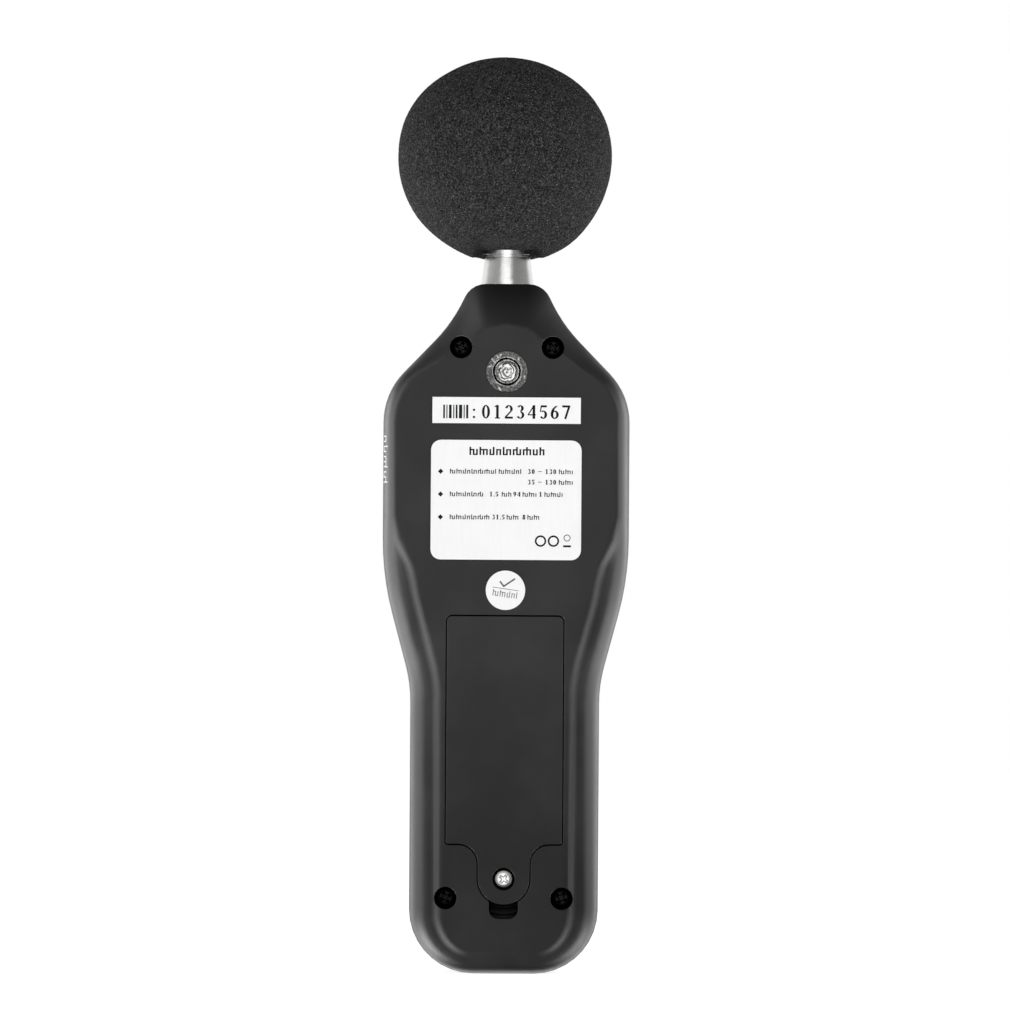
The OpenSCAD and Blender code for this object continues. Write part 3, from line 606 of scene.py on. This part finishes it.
def ball_profile():
    """(radius, height, is skin) up the bore, round the lip and over the ball, in mm."""
    lip = math.asin((BALL_Z - BALL_LOW) / BALL_R)
    lip_r = BALL_R * math.cos(lip)
    bore = [(BORE_R, BORE_TOP + (BALL_LOW - BORE_TOP) * k / 10, 0.0) for k in range(11)]
    under = [(BORE_R + (lip_r - BORE_R) * k / 3, BALL_LOW, 1.0) for k in (1, 2)]
    low_n = round(BALL_R * lip / FOAM_STEP)
    for k in range(low_n):
        a = -lip * (1 - k / low_n)
        under.append((BALL_R * math.cos(a), BALL_Z + BALL_R * math.sin(a), 1.0))
    high_n = round((BALL_R + BALL_RISE) / 2 * math.pi / 2 / FOAM_STEP)
    over = []
    for k in range(high_n):
        a = math.pi / 2 * k / high_n
        over.append((BALL_R * math.cos(a), BALL_Z + BALL_RISE * math.sin(a), 1.0))
    return bore + under + over


def foam_points(profile):
    """The foam's points in mm, and the share of pore at each, which the look darkens as painted
    shade.
    """
    turn = 2 * np.pi * np.arange(FOAM_AROUND) / FOAM_AROUND
    rows = [np.stack([r * np.cos(turn), r * np.sin(turn), np.full(FOAM_AROUND, z)], 1)
            for r, z, _ in profile]
    poles = np.array([[0, 0, BALL_Z + BALL_RISE], [0, 0, BORE_TOP]])
    pts = np.concatenate(rows + [poles])
    skin = np.append(np.repeat([s for _, _, s in profile], FOAM_AROUND), (1.0, 0.0))

    # pores, dents, slow waves and a flatter shoulder, all pressed in from the ball
    out = pts - (0, 0, BALL_Z)
    out /= np.linalg.norm(out, axis=1)[:, None]
    near, second, label = cell_noise(pts, CELL, 11)
    coarse = cell_noise(pts, DENT, 12)[0]
    wave = np.sin(pts[:, 0] * 0.21 + 1.0) * np.sin(pts[:, 1] * 0.17) * np.sin(pts[:, 2] * 0.19)
    pore = smooth((second - near) / 0.42) * (0.45 + 0.55 * label)
    shoulder = np.sin(np.clip((pts[:, 2] - BALL_Z) / BALL_RISE, 0, 1) * np.pi) ** 2
    depth = PORE_DEPTH * pore + 0.12 * coarse + 0.22 * (1 + wave) / 2 - 0.12 - 0.35 * shoulder
    pts = pts - out * (depth * skin)[:, None]

    # the lower face is pushed up beside the stem, and the ball leans over
    above = pts[:, 2] - BALL_LOW
    beside = smooth((10.0 - np.abs(pts[:, 0])) / 3.0) * smooth((pts[:, 1] + 6.0) / 8.0)
    pts[:, 2] += LIFT * beside * smooth(1 - above / 7.0) * (pts[:, 2] < BALL_Z)
    pts[:, 0] += ASKEW * skin * smooth((pts[:, 2] - BALL_LOW - 2.0) / 12.0)
    return pts, pore * skin + 0.6 * (1 - skin)


def make_windscreen():
    """The foam ball with its pores as geometry, in place of the plain CAD one."""
    profile = ball_profile()
    pts, pore = foam_points(profile)
    faces = skin_faces(len(profile), FOAM_AROUND)
    top_ring = (len(profile) - 1) * FOAM_AROUND
    tip, root = len(pts) - 2, len(pts) - 1
    for k in range(FOAM_AROUND):
        m = (k + 1) % FOAM_AROUND
        faces.append((top_ring + k, top_ring + m, tip))
        faces.append((m, k, root))
    mesh = bpy.data.meshes.new("windscreen_foam")
    mesh.from_pydata((pts * MM).tolist(), [], faces)
    mesh.polygons.foreach_set("use_smooth", [True] * len(mesh.polygons))
    mesh.attributes.new("pore", "FLOAT", "POINT").data.foreach_set("value", pore.astype(np.float32))
    mesh.materials.append(looks["foam"])
    obj = bpy.data.objects.new("windscreen_foam", mesh)
    bpy.context.scene.collection.objects.link(obj)
    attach(obj, "windscreen")
    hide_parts("windscreen")


make_windscreen()


# ---------------------------------------------------------------- tripod socket

PITCH = 1.27            # 20 threads to the inch
CREST_R = 2.6
ROOT_R = 3.12
HOLE_BOTTOM = 9.0
THREAD_TOP = 16.45
FLANGE_R = 5.68
FLANGE_FACE = 17.15
CAST_FROM = 4.35        # the flange is cast outside this radius, and cut inside it
GROOVE = (3.3, 3.8)     # radii of the groove round the thread, painted black as shade
FLATS = 12              # tool marks round the mouth
SOCKET_AROUND = 128


def tool_mark(a):
    """Share by which the flats of the mouth move its wall in or out at an angle."""
    side = 2 * math.pi / FLATS
    return 1 + 0.035 * (math.cos(side / 2) / math.cos((a + 0.2) % side - side / 2) - 0.98)


def thread_radius(y, turn):
    """Radius of the threaded wall at a height and a share of a turn. It widens to the mouth."""
    wave = abs(((y / PITCH - turn) % 1.0) * 2 - 1)
    run_out = min(1.0, (y - HOLE_BOTTOM) / 0.4)
    lead_in = 0.5 * max(0.0, 1 - (THREAD_TOP - y) / 5.0)
    cut = (ROOT_R - CREST_R) * min(1.0, 1.25 * wave) * run_out
    return min(ROOT_R + 0.1, CREST_R + lead_in + cut)


def make_socket():
    """Flange with a cast face, a chamfer of flats round the mouth, and a threaded wall."""
    steps, rows = SOCKET_AROUND, 90
    # rings as (radius, height)
    rim = [(4.55, 8.2), (4.55, 16.3), (5.7, 16.3), (5.75, 16.36), (5.75, 17.08),
           (FLANGE_R, FLANGE_FACE)]
    face = [(FLANGE_R - 0.1 * k, FLANGE_FACE) for k in range(1, 14)]
    mouth = [(4.3, 17.1), (3.9, 16.6), (3.8, 15.6), (3.6, 15.3), (3.42, 15.6), (3.36, 16.5),
             (3.2, 16.62)]
    rings = rim + face + mouth
    grain = np.random.default_rng(5).normal(0.0, 0.035, (len(rings), steps))
    verts = []
    for j, (r, y) in enumerate(rings):
        cast = len(rim) <= j < len(rim) + len(face)
        cut = j >= len(rim) + len(face)
        for k in range(steps):
            a = 2 * math.pi * k / steps
            wide = r * tool_mark(a) if cut else r
            high = y + grain[j, k] if cast else y
            verts.append((wide * math.cos(a), high, wide * math.sin(a)))
    down = [THREAD_TOP + (HOLE_BOTTOM - THREAD_TOP) * j / rows for j in range(rows + 1)]
    verts += wall(down, steps, thread_radius)
    verts += ring_points(1.8, 9.1, steps) + ring_points(0.9, 8.92, steps)
    faces = skin_faces(len(verts) // steps, steps)
    faces.append(range(len(verts) - steps, len(verts)))
    faces.append(range(steps - 1, -1, -1))
    placed = [(x, y, z + SOCKET_Z) for x, y, z in verts]
    obj = piece("tripod_socket", placed, faces, "grit", "meter")
    smooth_shade(obj)
    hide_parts("tripod_insert")
    # the threads and the floor are bright, the groove round them is painted black as shade, the
    # flange is dull
    obj.data.materials.append(looks["cut_nickel"])
    obj.data.materials.append(looks["groove_shade"])
    for p in obj.data.polygons:
        middle = p.center / MM
        away = math.hypot(middle.x, middle.z - SOCKET_Z)
        if away < CAST_FROM and middle.y > 8.3:
            p.material_index = 2 if GROOVE[0] < away < GROOVE[1] else 1


make_socket()


# ---------------------------------------------------------------- screws

def cross_depth(x, z, half, width, depth):
    """Depth of a cross recess at a point of the head, with sloping walls."""
    best = 0.0
    for along, across in ((abs(x), abs(z)), (abs(z), abs(x))):
        inside = min(1.0, max(0.0, (width - across) / (0.35 * width)))
        reach = min(1.0, max(0.0, (half - along) / (0.45 * half)))
        best = max(best, depth * inside * reach)
    return best


SCREW_AROUND = 96
SCREW_PITCH = 0.8
TIP_CHAMFER = 0.5


def make_screw(name, place, turned, head_r, seat, top, shank_r, tip, look, body):
    """A screw along Y, with a cross recess in its domed head. Its thread is a helix ridge."""
    steps, thread_rows, head_rows = SCREW_AROUND, 40, 26
    drop = 0.2 * head_r
    shank_end = tip + TIP_CHAMFER

    def helix(y, turn):
        ridge = abs(((y / SCREW_PITCH - turn) % 1.0) * 2 - 1)
        return shank_r * (0.82 + 0.18 * ridge)

    up = [shank_end + (seat - shank_end) * j / thread_rows for j in range(thread_rows + 1)]
    verts = ring_points(0.45 * shank_r, tip, steps) + ring_points(0.9 * shank_r, shank_end, steps)
    verts += wall(up, steps, helix)
    verts += ring_points(head_r, seat, steps) + ring_points(head_r, top - drop, steps)
    for j in range(head_rows + 1):
        r = head_r * (1 - j / head_rows) ** 0.8
        dome = top - drop * max(0.0, (r / head_r - 0.45) / 0.55) ** 2.2
        for x, y, z in ring_points(r, dome, steps):
            sink = cross_depth(x, z, 0.6 * head_r, 0.17 * head_r, 0.4 * head_r)
            verts.append((x, y - sink, z))
    faces = skin_faces(len(verts) // steps, steps)
    faces.append(range(steps - 1, -1, -1))
    c, s = math.cos(math.radians(turned)), math.sin(math.radians(turned))
    cx, cz = place
    placed = [(cx + x * c - z * s, y, cz + x * s + z * c) for x, y, z in verts]
    obj = piece(name, placed, faces, look, body)
    smooth_shade(obj)
    return obj


lid_screw = make_screw("lid_screw", (0, 26.6), 38, head_r=2.48, seat=15.42, top=16.9,
                       shank_r=1.2, tip=8.5, look="nickel", body="door_screw")
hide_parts("door_screw")
CASE_SCREWS = (((12.8, 175.0), 20), ((-12.8, 175.0), 55), ((16.2, 21.2), 65), ((-16.2, 21.2), 30))
for index, (place, angle) in enumerate(CASE_SCREWS):
    case_screw = make_screw("case_screw_%d" % index, place, angle, head_r=2.8, seat=6.02, top=8.4,
                            shank_r=1.4, tip=-8.0, look="black_steel", body="meter")
    if index == 0:
        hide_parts("case_screws")


# ---------------------------------------------------------------- printed marks

LABEL_FACE = 17.15      # face of the stickers
INK = 0.02              # thickness of print


def digit(n, u, v, w, h, t):
    """Strokes of a digit 0 to 9 in a box w wide and h high whose lower left corner is (u, v)."""
    m, right, top = u + w / 2, u + w, v + h
    thin = 0.45 * t

    def ring(z, rx, rz, a0=0, a1=360):
        """An oval or part of one, as two strokes."""
        middle = (a0 + a1) / 2
        return [bow(m, z, rx * w, rz * h, t, thin, a0, middle),
                bow(m, z, rx * w, rz * h, t, thin, middle, a1)]

    if n == 9:
        return [[(2 * m - x, 2 * v + h - z) for x, z in part] for part in digit(6, u, v, w, h, t)]
    shapes = {
        0: ring(v + h / 2, 0.5, 0.5),
        1: [bar(m - t / 2, v, m + t / 2, top), bar(m - 0.32 * w, v, m + 0.32 * w, v + thin),
            stroke(m - 0.34 * w, v + 0.86 * h, m, v + 0.97 * h, thin)],
        2: ring(v + 0.71 * h, 0.48, 0.29, -30, 165) + [
            stroke(right - 0.6 * t, v + 0.58 * h, u + 0.06 * w, v + 0.1 * h, 1.3 * thin),
            bar(u, v, right, v + 0.8 * t)],
        3: ring(v + 0.765 * h, 0.42, 0.235, -90, 155) + ring(v + 0.27 * h, 0.5, 0.27, -155, 90),
        4: [bar(m + 0.1 * w, v, m + 0.1 * w + t, top),
            bar(u, v + 0.25 * h, right, v + 0.25 * h + thin),
            stroke(u + 0.04 * w, v + 0.28 * h, m + 0.2 * w, top - thin, thin)],
        5: [bar(u + 0.2 * w, top - 0.8 * t, u + 0.94 * w, top),
            stroke(u + 0.24 * w, top - thin, u + 0.14 * w, v + 0.5 * h, thin)]
        + ring(v + 0.31 * h, 0.48, 0.31, -150, 125),
        6: ring(v + 0.31 * h, 0.5, 0.31) + [bow(right, v + 0.33 * h, w, 0.67 * h, t, thin, 105, 178)],
        7: [bar(u, top - 0.8 * t, right, top),
            stroke(right - 0.4 * t, top - 0.4 * t, m - 0.12 * w, v, 0.8 * t)],
        8: ring(v + 0.27 * h, 0.5, 0.27) + ring(v + 0.765 * h, 0.42, 0.235),
    }
    return shapes[n]


def number(text, u, v, h):
    """A small printed number; a point takes half a place."""
    out = []
    for char in text:
        if char == ".":
            out.append(bar(u + 0.05, v, u + 0.3, v + 0.25))
            u += 0.5
        else:
            out += digit(int(char), u, v, 0.62 * h, h, 0.26 * h)
            u += 0.82 * h
    return out


def words(u0, u1, v, h, pitch, thick):
    """Print that spells nothing: upright strokes, some taller, some joined above or below."""
    joins = (1, 2, 0, 1, 1, 0, 2, 0, 1, 0, 2, 1, 0)
    count = round((u1 - u0) / pitch)
    out = []
    for k in range(count + 1):
        left = u0 + k * pitch
        rise = h if k % 7 in (0, 3) else 0.74 * h
        out.append(bar(left, v, left + thick, v + rise))
        join = joins[k % len(joins)]
        if join and k < count:
            z = v if join == 2 else v + 0.74 * h - 0.8 * thick
            out.append(bar(left, z, left + pitch, z + 0.8 * thick))
    return out


def on_back(name, outlines, look, tilt=0.0, about=(0, 0)):
    """Marks given as seen from behind, u to the right, printed on the stickers."""
    c, s = math.cos(math.radians(tilt)), math.sin(math.radians(tilt))
    cu, cv = about
    turned = []
    for outline in outlines:
        turned.append([(-(cu + (u - cu) * c - (v - cv) * s), cv + (u - cu) * s + (v - cv) * c)
                       for u, v in outline])
    make_print(name, turned, LABEL_FACE - INK / 2, LABEL_FACE + INK, look, "meter")


def serial_marks():
    """A few bars that encode nothing, a colon and the digits 0 to 7."""
    low, high, wide, pitch = 155.1, 3.8, 2.25, 3.2
    out = []
    for left, width in ((-17.7, 0.5), (-16.8, 0.3), (-16.1, 0.75), (-14.9, 0.3), (-14.2, 0.5),
                        (-13.3, 0.9), (-12.0, 0.3), (-11.3, 0.6)):
        out.append(bar(left, low, left + width, low + high))
    out += [disc(-9.1, low + 0.4, 0.34), disc(-9.1, low + 2.4, 0.34)]
    for k in range(8):
        out += digit(k, -6.9 + pitch * k, low, wide, high, 0.72)
    return out


def spec_marks():
    """A heading, three bulleted rows with plain numbers in them, and three symbols."""
    out = words(-10.3, 10.1, 144.9, 2.3, 0.93, 0.48)
    for z in (140.3, 133.95, 127.55):
        out.append([(-18.3, z - 0.75), (-17.55, z), (-18.3, z + 0.75), (-19.05, z)])
    # each row: its level, its runs of print from and to, and its numbers with their places
    rows = (
        (139.7, ((-15.7, -3.0), (-2.1, 3.9), (14.7, 18.4)), (("30", 6.0), ("130", 10.9))),
        (136.75, ((14.7, 18.4),), (("35", 6.0), ("130", 10.9))),
        (133.35, ((-15.7, -6.8), (-1.2, 0.9), (4.6, 8.2), (10.7, 15.5)),
         (("1.5", -4.6), ("94", 2.0), ("1", 9.2))),
        (126.95, ((-15.7, -5.0), (0.2, 3.4), (6.0, 9.2)), (("31.5", -3.9), ("8", 4.6))),
    )
    for z, runs, numbers in rows:
        for start, end in runs:
            out += words(start, end, z, 1.35, 0.6, 0.27)
        for text, start in numbers:
            out += number(text, start, z, 1.35)
    for z in (139.7, 136.75):
        out.append(bar(8.9, z + 0.6, 9.9, z + 0.78))
    out += hoop(9.7, 121.0, 1.35, 0.5)
    out += hoop(13.3, 121.0, 1.35, 0.5)
    out += hoop(17.1, 121.9, 0.85, 0.22) + [bar(16.0, 119.3, 18.2, 119.85)]
    return out


STICKER_Z = 107.2       # centre of the round sticker


def tick_and_marks():
    """A tick over a line of print."""
    z = STICKER_Z
    out = [stroke(-1.9, z + 2.3, -0.55, z + 0.95, 0.45), stroke(-0.7, z + 0.97, 2.2, z + 3.6, 0.45)]
    out.append(bar(-3.7, z + 0.3, 3.7, z + 0.46))
    out += words(-3.4, 3.2, z - 1.9, 1.8, 0.66, 0.22)
    return out


on_back("serial_digits", serial_marks(), "ink")
on_back("spec_print", spec_marks(), "ink")
on_back("sticker_print", tick_and_marks(), "grey_ink", tilt=-8, about=(0, STICKER_Z))


PANEL_X = 34.0          # face of the recess round the jack
HEAD_X = 34.4           # side of the head
SIDE_Y = 10.5           # where the side's rounded edge begins
EDGE_RUN = 4.0          # how far in from the side it ends
EDGE_RISE = 6.5


def side_icon():
    """Socket symbol beside the output jack, on the face that looks +X."""
    shapes = hoop(0.6, 150.6, 1.1, 0.34)
    shapes += [disc(0.6, 150.6, 0.32), stroke(2.9, 149.2, 2.9, 152.0, 0.34)]
    make_print("jack_icon", shapes, PANEL_X - INK / 2, PANEL_X + INK, "white_ink", "meter",
               lambda y, x, z: (x, y, z))


def over_edge(z, lift, y):
    """A point on the rounded edge of the head, lifted off it."""
    rise = min(1.0, (y - SIDE_Y) / EDGE_RISE)
    return HEAD_X - EDGE_RUN * (1 - math.sqrt(1 - rise * rise)) + lift, y, z


def side_print():
    """Print beside the jack that runs up the rounded edge, in slices that follow the curve."""
    slices = 5
    shapes = []
    for (left, low), (right, _), (_, high), _ in words(137.0, 149.6, 12.8, 2.4, 1.42, 0.4):
        part = (high - low) / slices
        for k in range(slices):
            shapes.append(bar(left, low + part * k, right, low + part * (k + 1)))
    make_print("side_print", shapes, -0.02, 0.05, "white_ink", "meter", over_edge)


side_icon()
side_print()


# ---------------------------------------------------------------- ribs in the finger notch

RIB_PITCH = 1.75
RIB_HALF = 3.85         # half the width of the notch
RIB_FACE = 14.5
NOTCH_LOW = 15.7
NOTCH_FLOOR = 13.35


def make_ribs():
    """Curved steps down the notch, each one sloping upwards."""
    verts, faces = [], []
    columns = 16
    for k in range(4):
        base = len(verts)
        for c in range(columns + 1):
            x = RIB_HALF * (2 * c / columns - 1)
            sag = 0.045 * x * x
            low = max(NOTCH_LOW, NOTCH_LOW - 0.6 + RIB_PITCH * k + sag)
            high = max(low + 0.05, low + RIB_PITCH - 0.12)
            for y, z in ((NOTCH_FLOOR, low), (RIB_FACE, low), (NOTCH_FLOOR + 0.1, high)):
                verts.append((x, y, z))
        for c in range(columns):
            a, b = base + 3 * c, base + 3 * c + 3
            for i, j in ((0, 1), (1, 2), (2, 0)):
                faces.append((a + i, a + j, b + j, b + i))
        faces.append((base, base + 2, base + 1))
        end = base + 3 * columns
        faces.append((end, end + 1, end + 2))
    piece("notch_ribs", verts, faces, "case", "meter", smooth=False)


make_ribs()


# ---------------------------------------------------------------- front: display and keys

WINDOW_Z = 137.0        # centre of the display window
WINDOW_BACK = -14.345   # printed behind the window
LCD_FACE = -13.1
KEY_FACE = -16.9


def window_mask():
    """Printed border behind the window, wider below."""
    outer = rounded(0, WINDOW_Z, 51.6, 37.6, 2.8)
    inner = rounded(0, WINDOW_Z + 0.4, 44.5, 30.5, 1.6)
    verts, faces = [], []
    n = len(outer)
    for y in (WINDOW_BACK, WINDOW_BACK + 0.03):
        verts += [(x, y, z) for x, z in outer + inner]
    for k in range(n):
        j = (k + 1) % n
        faces.append((k, j, n + j, n + k))
        faces.append((3 * n + k, 3 * n + j, 2 * n + j, 2 * n + k))
        faces.append((k, 2 * n + k, 2 * n + j, j))
        faces.append((n + j, 3 * n + j, 3 * n + k, n + k))
    piece("window_mask", verts, faces, "mask", "meter", smooth=False)


SEGMENTS = {"2": "abged", "4": "fgbc", "6": "afgcde"}


def seven_segments(text, u, v, w, h, t, slant=0.09):
    """Bevelled seven-segment digits, leaning to the right."""
    gap, n, half = 0.16, t / 2, h / 2
    places = {"a": (0, h, w, h), "d": (0, 0, w, 0), "g": (0, half, w, half), "f": (0, half, 0, h),
              "b": (w, half, w, h), "e": (0, 0, 0, half), "c": (w, 0, w, half)}
    out = []
    for k, char in enumerate(text):
        left = u + k * (w + 2.4 * t)
        for name in SEGMENTS[char]:
            x0, z0, x1, z1 = places[name]
            dx, dz = (1, 0) if z0 == z1 else (0, 1)
            # each corner: an end of the segment, and the steps from it along and across
            corners = ((x0, z0, gap, 0), (x0, z0, gap + n, n), (x1, z1, -gap - n, n),
                       (x1, z1, -gap, 0), (x1, z1, -gap - n, -n), (x0, z0, gap + n, -n))
            points = [(x + along * dx - across * dz, z + along * dz + across * dx)
                      for x, z, along, across in corners]
            out.append([(left + x + slant * z, v + z) for x, z in points])
    return out


def scale_marks():
    """The bar scale under the reading: lit up to a level, and only its long marks beyond it."""
    left, foot, pitch, lit = -20.3, 125.2, 1.45, 17
    out = [bar(left, 124.1, -left, 124.5)]
    for k in range(29):
        is_long = k % 7 == 0
        if k < lit or is_long:
            tall = 2.4 if is_long else 1.6
            out.append(bar(left + pitch * k, foot, left + pitch * k + 0.8, foot + tall))
    return out


def battery_sign():
    """A battery outline with three cells in it."""
    left, right, low, high, wall = -20.4, -16.2, 148.2, 150.4, 0.3
    out = [bar(left, low, right, low + wall), bar(left, high - wall, right, high),
           bar(left, low, left + wall, high), bar(right - wall, low, right, high),
           bar(right, low + 0.6, right + 0.5, high - 0.6)]
    for k in range(3):
        cell = left + 0.6 + 1.15 * k
        out.append(bar(cell, low + 0.5, cell + 0.85, high - 0.5))
    return out


def lcd_marks():
    """What the display shows: a reading, a scale, the battery and a clock."""
    out = seven_segments("62", -15.5, 131.5, 7.2, 13.0, 1.5)
    out += seven_segments("4", 7.2, 131.5, 7.2, 13.0, 1.5)
    out.append(bar(4.75, 130.8, 6.15, 132.2))
    out += scale_marks() + battery_sign()
    out += hoop(18.6, 149.3, 0.8, 0.3) + [stroke(18.6, 149.3, 18.6, 149.9, 0.25)]
    return out


def power_sign(x, z):
    return [arc_band(x, z - 0.2, 1.7, 0.45, 120, 420), bar(x - 0.22, z, x + 0.22, z + 2.1)]


def light_sign(x, z):
    out = hoop(x, z, 0.95, 0.4)
    for k in range(8):
        c, s = math.cos(math.pi * k / 4), math.sin(math.pi * k / 4)
        out.append(stroke(x + 1.6 * c, z + 1.6 * s, x + 2.4 * c, z + 2.4 * s, 0.38))
    return out


def hold_sign(x, z):
    return [bar(left, z - 1.6, left + 0.65, z + 1.6) for left in (x - 1.1, x + 0.45)]


def up_down_sign(x, z):
    return [[(x - 2.9, z - 1.0), (x - 0.5, z - 1.0), (x - 1.7, z + 1.3)],
            [(x + 0.5, z + 1.0), (x + 1.7, z - 1.3), (x + 2.9, z + 1.0)]]


def curve_sign(x, z):
    """The hump of a weighting curve."""
    points = [(x - 2.9 + 0.95 * k, z - 1.2 + 2.6 * math.sin(0.55 * k)) for k in range(7)]
    return [stroke(*start, *end, 0.42) for start, end in zip(points, points[1:])]


def speed_sign(x, z):
    """Two arrow heads."""
    out = []
    for left in (x - 2.4, x + 0.1):
        point = left + 1.5
        out += [stroke(left, z + 1.3, point, z, 0.45), stroke(point, z, left, z - 1.3, 0.45)]
    return out


# each key's place and sign
KEYS = {"key_power": (11, 98, power_sign), "key_light": (-11, 98, light_sign),
        "key_hold": (11, 82, hold_sign), "key_max_min": (-11, 82, up_down_sign),
        "key_weighting": (11, 66, curve_sign), "key_response": (-11, 66, speed_sign)}

window_mask()
make_print("lcd_segments", lcd_marks(), LCD_FACE - INK, LCD_FACE + INK / 2, "lcd_ink", "meter")
for key, (x, z, sign) in KEYS.items():
    make_print(key + "_icon", sign(x, z), KEY_FACE - INK, KEY_FACE + INK / 2, "white_ink", key)


# ---------------------------------------------------------------- floor, camera and light

def make_floor():
    """White floor that glows, and neither mirrors nor shades the meter."""
    half = 3.0
    mesh = bpy.data.meshes.new("floor")
    mesh.from_pydata([(x, y, 0) for x, y in bar(-half, -half, half, half)], [], [(0, 1, 2, 3)])
    look = Look("floor_paper", (0.5, 0.5, 0.5), 0.9)
    look.put("Specular IOR Level", 0.0)
    look.put("Emission Color", (1.0, 1.0, 1.0))
    look.put("Emission Strength", 0.84)
    look.bump(look.noise(3.0, 3.0, 0.6), 0.02, 0.3)
    mesh.materials.append(look.mat)
    obj = bpy.data.objects.new("floor", mesh)
    obj.visible_glossy = False
    obj.visible_shadow = False
    bpy.context.scene.collection.objects.link(obj)


OVERHEAD = 0.4
UNDERFOOT = 0.1
# brightness round the horizon, at angles in degrees from the camera towards +X: a bright strip
# between dark flags gives the metal its stripes
STUDIO = ((-180, 0.9), (-125, 0.9), (-104, 0.3), (-60, 0.24), (-17, 0.2), (-11, 0.93),
          (28, 0.93), (36, 0.32), (60, 0.34), (98, 0.46), (120, 0.9), (180, 0.9))


def make_world():
    """A grey studio for the reflections, and white where the camera sees it directly."""
    world = bpy.data.worlds.new("studio")
    bpy.context.scene.world = world
    world.use_nodes = True
    tree = Tree(world.node_tree)
    coordinates = tree.add("ShaderNodeTexCoord", {}).outputs["Generated"]
    away = tree.add("ShaderNodeSeparateXYZ", {0: coordinates}).outputs
    angle = tree.maths("ARCTAN2", away["X"], away["Y"])
    turn = tree.span(angle, -math.pi, math.pi, way="LINEAR")
    ramp = tree.add("ShaderNodeValToRGB", {0: turn})
    elements = ramp.color_ramp.elements
    while len(elements) < len(STUDIO):
        elements.new(0.5)
    for element, (deg, level) in zip(elements, STUDIO):
        element.position = (deg + 180) / 360
        element.color = (level, level, level, 1)
    steep = tree.span(tree.maths("ABSOLUTE", away["Z"]), 0.34, 0.62, way="LINEAR")
    ends = tree.span(away["Z"], -0.1, 0.1, UNDERFOOT, OVERHEAD, way="LINEAR")
    all_round = tree.blend(steep, ramp.outputs["Color"], ends)
    seen = tree.add("ShaderNodeLightPath", {}).outputs["Is Camera Ray"]
    light = tree.add("ShaderNodeBackground", {"Color": tree.blend(seen, all_round, (1, 1, 1))})
    tree.add("ShaderNodeOutputWorld", {"Surface": light.outputs[0]})


AIM = Vector((0, 0, 0.12))      # lights point at the middle of the meter


def make_light(name, place, size, power, diffuse=True, glossy=True):
    """A rectangular light. Its place and size are in metres, its power in watts."""
    data = bpy.data.lights.new(name, "AREA")
    data.shape = "RECTANGLE"
    data.size, data.size_y = size
    data.energy = power
    obj = bpy.data.objects.new(name, data)
    obj.location = place
    obj.rotation_euler = (AIM - Vector(place)).to_track_quat("-Z", "Y").to_euler()
    obj.visible_camera = False
    obj.visible_diffuse = diffuse
    obj.visible_glossy = glossy
    bpy.context.scene.collection.objects.link(obj)
    return obj


LENS = 500.0            # long, so that the sides stay out of sight
FIELD = 0.2828          # width of the view at the meter
CAMERA_X = 0.28 * MM
CAMERA_Z = 0.131
BACK_Y = 0.004          # the plane the field is measured in
ROLL = -0.38            # degrees: the meter leans a little in the frame


def make_camera():
    data = bpy.data.cameras.new("camera")
    data.lens = LENS
    data.sensor_width = 36.0
    data.clip_start = 0.05
    data.clip_end = 40.0
    obj = bpy.data.objects.new("camera", data)
    obj.location = (CAMERA_X, FIELD * LENS / data.sensor_width + BACK_Y, CAMERA_Z)
    obj.rotation_euler = (math.pi / 2, math.radians(ROLL), math.pi)
    bpy.context.scene.collection.objects.link(obj)
    bpy.context.scene.camera = obj


make_floor()
make_world()
make_camera()

# the keys light the foam and the stickers
make_light("left_key", (0.8, 0.9, 0.7), (0.7, 0.7), 4.2, glossy=False)
make_light("right_key", (-0.8, 0.9, 0.7), (0.7, 0.7), 6.2, glossy=False)
# the rims only show as highlights, along the sides, the foot and the brow of the case
rims = (
    make_light("left_rim", (1.5, -0.6, -0.3), (1.5, 2.4), 52, diffuse=False),
    make_light("right_rim", (-1.5, -0.6, -0.3), (1.5, 2.4), 50, diffuse=False),
    make_light("left_panel", (1.5, 0.75, -0.2), (1.6, 2.4), 48, diffuse=False),
    make_light("right_panel", (-1.5, 0.75, -0.2), (1.6, 2.4), 38, diffuse=False),
    make_light("brow", (0, 0.9, 0.42), (0.8, 0.17), 0.35, diffuse=False),
    make_light("left_low", (1.25, 0.62, -0.97), (1.0, 1.0), 54, diffuse=False),
    make_light("right_low", (-1.25, 0.62, -0.97), (1.0, 1.0), 37, diffuse=False),
    make_light("left_foot", (1.15, 0.05, -1.0), (1.0, 1.0), 26, diffuse=False),
    make_light("right_foot", (-1.15, 0.05, -1.0), (1.0, 1.0), 9, diffuse=False),
    make_light("left_high", (1.1, 0.6, 1.2), (1.0, 1.0), 5, diffuse=False),
    make_light("under_rim", (0, -1.0, -1.0), (2.4, 0.9), 20, diffuse=False),
)
card = make_light("metal_card", (-0.1, 1.95, 0.2), (1.5, 1.0), 2.6, diffuse=False)

BRIGHT_METAL = ("mic_barrel", "mic_capsule", "mic_grid", "tripod_socket", "lid_screw",
                "trimmer_screw", "battery", "battery_terminals", "output_jack")


def link_metal(name, state, lights):
    """Links lights to the bright metal only, or to everything but it."""
    metal = bpy.data.collections.new(name)
    for node in BRIGHT_METAL:
        metal.objects.link(bpy.data.objects[node])
    for entry in metal.collection_objects:
        entry.light_linking.link_state = state
    for light in lights:
        light.light_linking.receiver_collection = metal


# the rim lights would burn the metal out, and the card is there for the metal alone
link_metal("flagged_metal", "EXCLUDE", rims)
link_metal("carded_metal", "INCLUDE", [card])

view = bpy.context.scene.view_settings
view.view_transform = "Standard"
view.look = "None"
